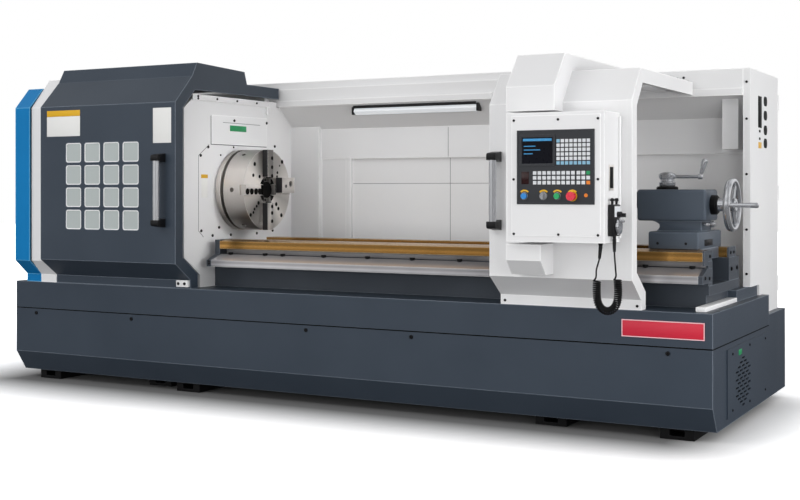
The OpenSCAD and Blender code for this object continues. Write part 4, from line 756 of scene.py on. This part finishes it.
# Rear wall: seams and screws; lamp ends
WALL_HIGH, WALL_LOW = (1129.4, 1130.2), (1159.4, 1160.2)  # depths of the seams above and below the shelf
b = bmesh.new()
for x in (300, 900, 1500):
    box(b, x - 1.5, x + 1.5, *WALL_HIGH, 1424, 1610, 0.0)
    box(b, x - 1.5, x + 1.5, *WALL_LOW, 640, 1418, 0.0)
box(b, -410, 1240, *WALL_LOW, 1255, 1258, 0.0)
piece("wall_seams", b, SEAM_AND_SHADOW_LINE, "machine")
b = bmesh.new()
for x, z in ((1846, 1836), (1870, 1812), (1810, 1831), (1662, 1850)):
    screw(b, (x, 948, z), FRONT, 7, 4)
for z in (760, 1000, 1300, 1600, 1800):
    screw(b, (2190, 948, z), FRONT, 7, 4)
piece("wall_screws", b, "black_steel", "machine")
lo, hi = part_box("work_lamp")
b = bmesh.new()
lamp_y = (lo.y + hi.y) / 2 * 1000 + MID_Y
lamp_z = (lo.z + hi.z) / 2 * 1000
for x0, x1 in ((-304, -289.8), (571.8, 586)):
    box(b, x0, x1, lamp_y - 26, lamp_y + 26, lamp_z - 24, lamp_z + 26, 3)
box(b, -290, 572, lamp_y - 32, lamp_y - 24, lamp_z + 16, lamp_z + 34, 1)
piece("lamp_ends", b, "black_plastic", "machine")

# End cover and back: screws; cabinet door: two quarter-turn locks
b = bmesh.new()
for y, z in ((60, 1815), (420, 1815), (780, 1815), (1125, 1815), (1125, 1430), (1125, 1060), (1125, 690),
             (780, 690), (420, 690), (60, 690), (-55, 1060), (-55, 1430)):
    screw(b, (-2157, y, z), LEFT, 9, 5)
for x in (-1840, -1400, -960, -760, -260, 240, 740, 1090):
    for z in (730, 1690):
        screw(b, (x, 1166, z), BACK, 8, 5)
piece("back_screws", b, "black_steel", "machine")
b = bmesh.new()
for z in (860, 1540):
    lathe(b, (1200, 1671.8, z), BACK, [(0, 0), (0, 20), (5, 20), (7.5, 17), (7.5, 9), (4, 8), (4, 0)], 28)
    box(b, 1197.5, 1202.5, 1675.5, 1678, z - 8, z + 8, 0.5)
piece("cabinet_locks", b, "black_steel", "cabinet_door")

# Doors: foot guide, corner screws
b = bmesh.new()
box(b, -930, -846, -22, 2.2, 640, 680, 3)
piece("left_door_foot", b, "white_paint", "left_door")
b = bmesh.new()
for x in (-912, -866):
    screw(b, (x, -22, 660), FRONT, 9, 5)
piece("left_door_screws", b, "black_steel", "left_door")
b = bmesh.new()
for x in (1184, 1882):
    screw(b, (x, 2, 650), FRONT, 7, 4)
piece("right_door_screws", b, "black_steel", "right_door")

# Control box: cover plate, screws, side slot
b = bmesh.new()
frame_ring(b, rounded(1374, 996, 448, 572, 4), rounded(1420, 1160, 360, 324, 4), -356, -351.8)
piece("box_cover", b, "white_paint", "right_door")
b = bmesh.new()
for x, z in ((1387, 1546), (1612, 1546), (1809, 1546), (1386, 1265), (1809, 1264), (1387, 1004),
             (1614, 1004), (1809, 1004)):
    screw(b, (x, -356, z), FRONT, 6, 4)
piece("box_screws", b, "black_steel", "right_door")
b = bmesh.new()
box(b, 1838.8, 1842, -293, -228, 1212, 1332, 1.2)
piece("side_slot_rim", b, "ground_steel", "right_door")
# Black sheet in the side slot: painted shade
b = bmesh.new()
box(b, 1841.5, 1842.6, -285, -236, 1222, 1322, 0.4)
piece("side_slot", b, BLACK_AND_PAINTED_SHADE, "right_door")
b = bmesh.new()
box(b, 1838.8, 1850, -160, -140, 985, 1565, 2)
piece("box_flange", b, "white_paint", "right_door")

# Operating panel: bezel, screen bar, keys, rings, arcs
FACE, BUTTON_Z = -360.0, 1185
BUTTONS = {"blue_button": 1444, "mode_selector": 1541, "green_button": 1611}
STOP_X = 1685
MAIN_KEYS = (1606, 1772, 1333, 1453, 8, 6, 5)  # field, columns, rows, gap
SIDE_KEYS = (1706, 1772, 1240, 1303, 3, 3, 6)
b = bmesh.new()
frame_ring(b, rounded(1406, 1148, 385, 348, 16), rounded(1411, 1153, 375, 338, 12), FACE - 2.0, FACE + 0.2)
frame_ring(b, rounded(1418, 1328, 182, 148, 8), rounded(1429, 1337, 160, 128, 4), FACE - 4.6, FACE + 0.2)
piece("panel_rims", b, "panel_plastic", "right_door")
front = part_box("screen")[0].y * 1000 + MID_Y
b = bmesh.new()
box(b, 1436, 1582, front - 0.5, front + 0.1, 1446, 1458, 0.0)
for k, w in enumerate((60, 84, 46)):
    box(b, 1440, 1440 + w, front - 0.5, front + 0.1, 1420 - 18 * k, 1424 - 18 * k, 0.0)
piece("screen_bar", b, BAR, "right_door")


def keys(b, x0, x1, z0, z1, cols, rows, gap, only=lambda c, r: True):
    """Keys in columns and rows that fill a field, or only some of them."""
    w, h = (x1 - x0 + gap) / cols, (z1 - z0 + gap) / rows
    for c in range(cols):
        for r in range(rows):
            if only(c, r):
                x, z = x0 + c * w, z0 + r * h
                box(b, x, x + w - gap, FACE - 1.6, FACE + 0.2, z, z + h - gap, 0.9, 1)


def pale_key(c, r):
    return r == 0 or (c == 0 and r == 5)


b = bmesh.new()
keys(b, *MAIN_KEYS, lambda c, r: not pale_key(c, r))
keys(b, 1487, 1697, 1240, 1303, 9, 3, 6)
keys(b, *SIDE_KEYS, lambda c, r: (c, r) not in ((2, 0), (2, 2)))
piece("panel_keys", b, KEY, "right_door")
b = bmesh.new()
keys(b, *MAIN_KEYS, pale_key)
piece("panel_keys_blue", b, KEY_BLUE, "right_door")
b = bmesh.new()
keys(b, *SIDE_KEYS, lambda c, r: (c, r) == (2, 2))
piece("panel_key_green", b, GREEN, "right_door")
b = bmesh.new()
keys(b, *SIDE_KEYS, lambda c, r: (c, r) == (2, 0))
lathe(b, (1752, FACE + 0.2, 1189), FRONT, [(0, 9), (2.2, 9), (3, 8), (3, 0)], 24)
piece("panel_key_orange", b, ORANGE, "right_door")
b = bmesh.new()
box(b, 1428, 1466, FACE - 1.2, FACE + 0.2, 1242, 1301, 0.6)
piece("panel_display", b, PORT, "right_door")
b = bmesh.new()
for x in (*BUTTONS.values(), STOP_X):
    arc = round_points((x, BUTTON_Z), ((31, range(45, 136, 10)), (23, range(135, 44, -10))))
    prism(b, arc, "y", FACE - 0.7, FACE + 0.2)
lathe(b, (STOP_X, FACE + 0.2, BUTTON_Z), FRONT, [(0, 24), (1.4, 24), (1.4, 15), (0, 15)], 40, True)
piece("panel_arcs", b, YELLOW, "right_door")
b = bmesh.new()
for name, x in BUTTONS.items():
    lo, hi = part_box(name)
    r = (hi.x - lo.x) * 500 + 1.2
    ring = [(0, r + 3), (0.9, r + 2.6), (1.4, r + 2), (1.4, r + 0.4), (0, r + 0.4)]
    lathe(b, (x, FACE - 3.9, BUTTON_Z), FRONT, ring, 36, True)
piece("button_rings", b, "chrome", "right_door")

# Tailstock with rounded castings, in a lighter copy of the slate that paints light on it
b = bmesh.new()
box(b, 1756, 2113, 389, 637, 1056, 1217, 14, 4)
box(b, 1848, 2105, 287, 741, 915.3, 1004, 9, 3)
box(b, 1848, 2105, 343.3, 682.7, 861, 917, 1)
prism(b, [(1850, 1003), (1861, 1012), (1868, 1024), (1866, 1038), (1850, 1048), (1824, 1058),
          (2085, 1058), (2085, 1003)], "y", 417, 609, 3)
box(b, 1600, 1758, 453, 573, 1120, 1205, 6)
lathe(b, (1440, SPIN_Y, SPIN_Z), RIGHT, [(0, 45.1), (0, 64), (4, 68), (216, 68), (220, 64), (220, 0),
                                         (205, 0), (205, 45.1)], 48)
piece("tailstock_casting", b, LIT_TAILSTOCK_SLATE, "tailstock", ("tailstock",))
b = bmesh.new()
lathe(b, (2112, SPIN_Y, WHEEL_Z), RIGHT, [(0, 0), (0, 50), (28, 50), (35, 43), (35, 20.1), (8, 20.1),
                                          (8, 0)], 48)
lathe(b, (1881, SPIN_Y, 1214), UP, [(0, 0), (0, 56), (13, 56), (19, 50), (19, 9.5), (5, 9.5), (5, 0)], 48)
for y, z in round_points((SPIN_Y, WHEEL_Z), ((33, range(0, 360, 60)),)):
    screw(b, (2146.5, y, z), RIGHT, 5, 3)
for x in (1897, 2041):
    lathe(b, (x, 287.2, 945), FRONT, [(0, 7), (0.8, 7), (0.8, 0)], 20)
box(b, 2104.8, 2105.6, 400, 560, 930, 962, 0.3)
piece("tailstock_black", b, "black_steel", "tailstock")

# Handwheel: rim, hub, spokes, crank handle
b = bmesh.new()
c, r = (2217, SPIN_Y, WHEEL_Z), 136
lathe(b, c, RIGHT, [(-17, r - 19), (-18, r - 14), (-17, r - 5), (-11, r - 1), (0, r), (11, r - 1),
                    (17, r - 5), (18, r - 14), (17, r - 19), (11, r - 23), (0, r - 24), (-11, r - 23)],
      72, True)
lathe(b, (2147.5, SPIN_Y, WHEEL_Z), RIGHT, [(-112, 0), (-112, 19.5), (0, 19.5), (0, 34), (86, 34), (91, 30),
                                            (91, 16), (85, 12), (85, 0)], 40)
for a in (90, 210, 330):
    d = Vector((0, -math.sin(math.radians(a)), math.cos(math.radians(a))))
    rod(b, Vector(c) + d * 28, Vector(c) + d * 116, 11, 8.5)
lathe(b, (2217, 389, WHEEL_Z), RIGHT, [(0, 0), (0, 9), (24, 9), (26, 13), (36, 14), (54, 11), (120, 13),
                                       (152, 14), (158, 11), (160, 5), (160, 0)], 28)
piece("handwheel", b, "chrome", "tail_wheel", ("tail_wheel",))

# Quill lever and bed lever
LEVER_Z, LEVER_TILT = 1283, math.radians(15)
b = bmesh.new()
lathe(b, (1881, SPIN_Y, 1233.3), UP, [(-54, 0), (-54, 8.8), (0, 8.8), (0, 40), (6, 43), (20, 43), (26, 36),
                                      (36, 36), (42, 44), (60, 45), (68, 38), (73.7, 20), (73.7, 0)], 40)
rod(b, (1915, SPIN_Y, LEVER_Z), (2055, SPIN_Y, LEVER_Z), 9)
lathe(b, (2041, SPIN_Y, LEVER_Z), RIGHT, [(0, 0), (0, 9), (4, 14), (22, 14), (27, 9), (28, 0)], 28)
tip = Vector((math.sin(LEVER_TILT), 0, math.cos(LEVER_TILT)))
lathe(b, (2055, SPIN_Y, LEVER_Z), tip, [(0, 0), (0, 9), (16, 9), (22, 11), (80, 17), (91, 14), (95, 6),
                                     (95, 0)], 28)
piece("clamp_lever", b, "chrome", "quill_lever", ("quill_lever",))
b = bmesh.new()
rod(b, (2027, 453, 1040), (2147, 453, 1040), 9)
lathe(b, (2119, 453, 1040), RIGHT, [(0, 0), (0, 12), (4, 16), (22, 16), (26, 12), (26, 0)], 32)
lathe(b, (2132, 453, 1040), FRONT, [(0, 0), (0, 7), (64, 6), (70, 8), (104, 9), (109, 6), (110, 0)], 28)
piece("bed_clamp_lever", b, "chrome", "bed_lever", ("bed_lever",))

# Pendant: case, bare plate, handwheel with its knob
PENDANT_Y, PENDANT_Z = -259, 1043  # the handwheel's axis
b = bmesh.new()
box(b, 1839.3, 1870.3, -309, -209, 998, 1146, 6, 3)
for y in (-290, -228):
    lathe(b, (1854.8, y, 1145), UP, [(0, 0), (0, 6), (16, 6), (18, 10), (26, 10), (31, 5), (31, 0)], 24)
piece("pendant_case", b, "black_plastic", "right_door", ("pendant_body",))
b = bmesh.new()
box(b, 1870.1, 1870.9, -300, -218, 1088, 1138, 0.3)
piece("pendant_plate", b, KEY, "right_door")
b = bmesh.new()
lathe(b, (1870.8, PENDANT_Y, PENDANT_Z), RIGHT, [(-13.5, 0), (-13.5, 6.9), (0, 6.9), (0, 34), (3, 38),
                                                 (11, 38), (14.5, 34), (14.8, 12), (14.8, 0)], 48)
lathe(b, (1884, PENDANT_Y, PENDANT_Z + 25.8), RIGHT, [(0, 0), (0, 5), (6, 5), (8, 7), (19, 7), (21.3, 4),
                                                      (21.3, 0)], 20)
piece("pendant_handwheel", b, "chrome", "pendant_wheel", ("pendant_wheel",))

# Floor: white for the camera, dark for other rays, with a soft shade round the base
FLOOR_SIZE, FLOOR_Z = 60.0, -0.001
FLOOR_DIM = (0.16, 0.16, 0.165, 1.0)
WHITE, BLACK = (1.0, 1.0, 1.0, 1.0), (0.0, 0.0, 0.0, 1.0)
SHADE_TONE, SHADE_REACH = 0.13, 0.62  # at the base, and how far out the shade ends
FADE_FROM, FADE_TO = 3.2, 6.0  # where the floor turns into the plain background
bpy.ops.mesh.primitive_plane_add(size=FLOOR_SIZE, location=(0.0, 0.0, FLOOR_Z))
floor = bpy.context.object
floor.name = "floor"
floor_mat = finish_mat("pale floor", lin(252, 252, 252), lin(249, 249, 249), 0.9, fine=40.0, bump=0.01,
                       specular=0.0)
floor.data.materials.append(floor_mat)
nt = floor_mat.node_tree
shade = nt.nodes["Principled BSDF"]
tone = shade.inputs["Base Color"].links[0].from_socket
place = nt.nodes.new("ShaderNodeTexCoord").outputs["Object"]
base_lo, base_hi = at(-2250, 0, 0), at(2010, 1222, 0)
off = vector_math(nt, "ABSOLUTE", vector_math(nt, "SUBTRACT", place, (base_lo + base_hi) / 2))
past = vector_math(nt, "SUBTRACT", off, (base_hi - base_lo) / 2)
away = vector_math(nt, "LENGTH", vector_math(nt, "MAXIMUM", past, (0.0, 0.0, 0.0)))
tone = blend_colour(nt, spread(nt, away, SHADE_TONE, 1.0, 0.0, SHADE_REACH), BLACK, tone)
nt.links.new(tone, shade.inputs["Base Color"])
shade.inputs["Emission Color"].default_value = WHITE
nt.links.new(spread(nt, vector_math(nt, "LENGTH", place), 0.0, 1.0, FADE_FROM, FADE_TO),
             shade.inputs["Emission Strength"])
lift = nt.nodes.new("ShaderNodeBsdfDiffuse")
nt.links.new(tone, lift.inputs["Color"])
bright = nt.nodes.new("ShaderNodeAddShader")
nt.links.new(shade.outputs[0], bright.inputs[0])
nt.links.new(lift.outputs[0], bright.inputs[1])
dim = node(nt, "ShaderNodeBsdfDiffuse", Color=FLOOR_DIM)
nt.links.new(by_ray(nt, "Is Camera Ray", dim.outputs[0], bright.outputs[0]),
             nt.nodes["Material Output"].inputs["Surface"])

# World: plain white for the camera, bands by height and by angle for reflections, an even grey for light
SKY_LOW, SKY_HIGH = (0.475, 0.475, 0.48, 1.0), (0.50, 0.50, 0.505, 1.0)
BANDS = ((0.0, (0.62, 0.62, 0.63, 1.0)), (0.16, 1.05), (0.34, 0.46), (0.6, 0.86),
         (1.0, (0.42, 0.42, 0.43, 1.0)))
FLAGS = ((0.0, 0.9), (0.07, 0.3), (0.14, 1.25), (0.24, 1.0), (0.32, 0.28), (0.4, 1.2), (0.5, 1.1),
         (0.58, 0.35), (0.66, 1.25), (0.78, 1.0), (0.85, 0.3), (0.93, 1.1), (1.0, 0.9))
world = bpy.data.worlds.new("studio")
scene.world = world
world.use_nodes = True
nt = world.node_tree
around = nt.nodes.new("ShaderNodeTexCoord").outputs["Generated"]
split = nt.nodes.new("ShaderNodeSeparateXYZ")
nt.links.new(around, split.inputs[0])
height = split.outputs["Z"]
angle = nt.nodes.new("ShaderNodeTexGradient")
angle.gradient_type = "RADIAL"
nt.links.new(around, angle.inputs["Vector"])
soft = nt.nodes["Background"]
soft.inputs["Strength"].default_value = 1.0
nt.links.new(blend_colour(nt, spread(nt, height, 0.0, 1.0, -0.1, 0.9), SKY_LOW, SKY_HIGH),
             soft.inputs["Color"])
shiny = node(nt, "ShaderNodeBackground", Strength=1.0)
nt.links.new(multiply(nt, ramp(nt, height, BANDS), ramp(nt, angle.outputs["Fac"], FLAGS)),
             shiny.inputs["Color"])
plain = node(nt, "ShaderNodeBackground", Color=WHITE, Strength=1.0)
unseen = by_ray(nt, "Is Glossy Ray", soft.outputs[0], shiny.outputs[0])
nt.links.new(by_ray(nt, "Is Camera Ray", unseen, plain.outputs[0]),
             nt.nodes["World Output"].inputs["Surface"])


def panel_light(name, where, target, size, power, beam=180.0):
    """Area light that neither the camera nor a reflection sees."""
    data = bpy.data.lights.new(name, "AREA")
    data.shape = "RECTANGLE"
    data.size, data.size_y = size
    data.energy = power
    o = bpy.data.objects.new(name, data)
    o.location = where
    o.rotation_euler = (Vector(target) - Vector(where)).to_track_quat("-Z", "Y").to_euler()
    scene.collection.objects.link(o)
    o.visible_camera = False
    o.visible_glossy = False
    data.spread = math.radians(beam)


panel_light("key", (-1.0, -7.5, 1.2), (0.2, 0.0, 1.0), (9.0, 2.2), 225)
panel_light("high", (-2.5, -6.0, 5.0), (0.2, 0.0, 0.9), (5.0, 3.0), 106)
panel_light("side", (7.5, -1.5, 1.2), (1.6, 0.0, 1.0), (4.0, 2.2), 205)
panel_light("fill", (4.6, -4.2, 0.9), (1.9, 0.0, 1.1), (1.5, 1.2), 4.0, 60.0)
panel_light("side_high", (6.0, -2.5, 3.6), (1.6, 0.0, 0.9), (3.0, 3.0), 35)
panel_light("inner", (0.95, -0.15, 1.45), (-0.95, -0.2, 1.25), (0.4, 0.4), 1.1, 50.0)

scene.view_settings.view_transform = "Standard"
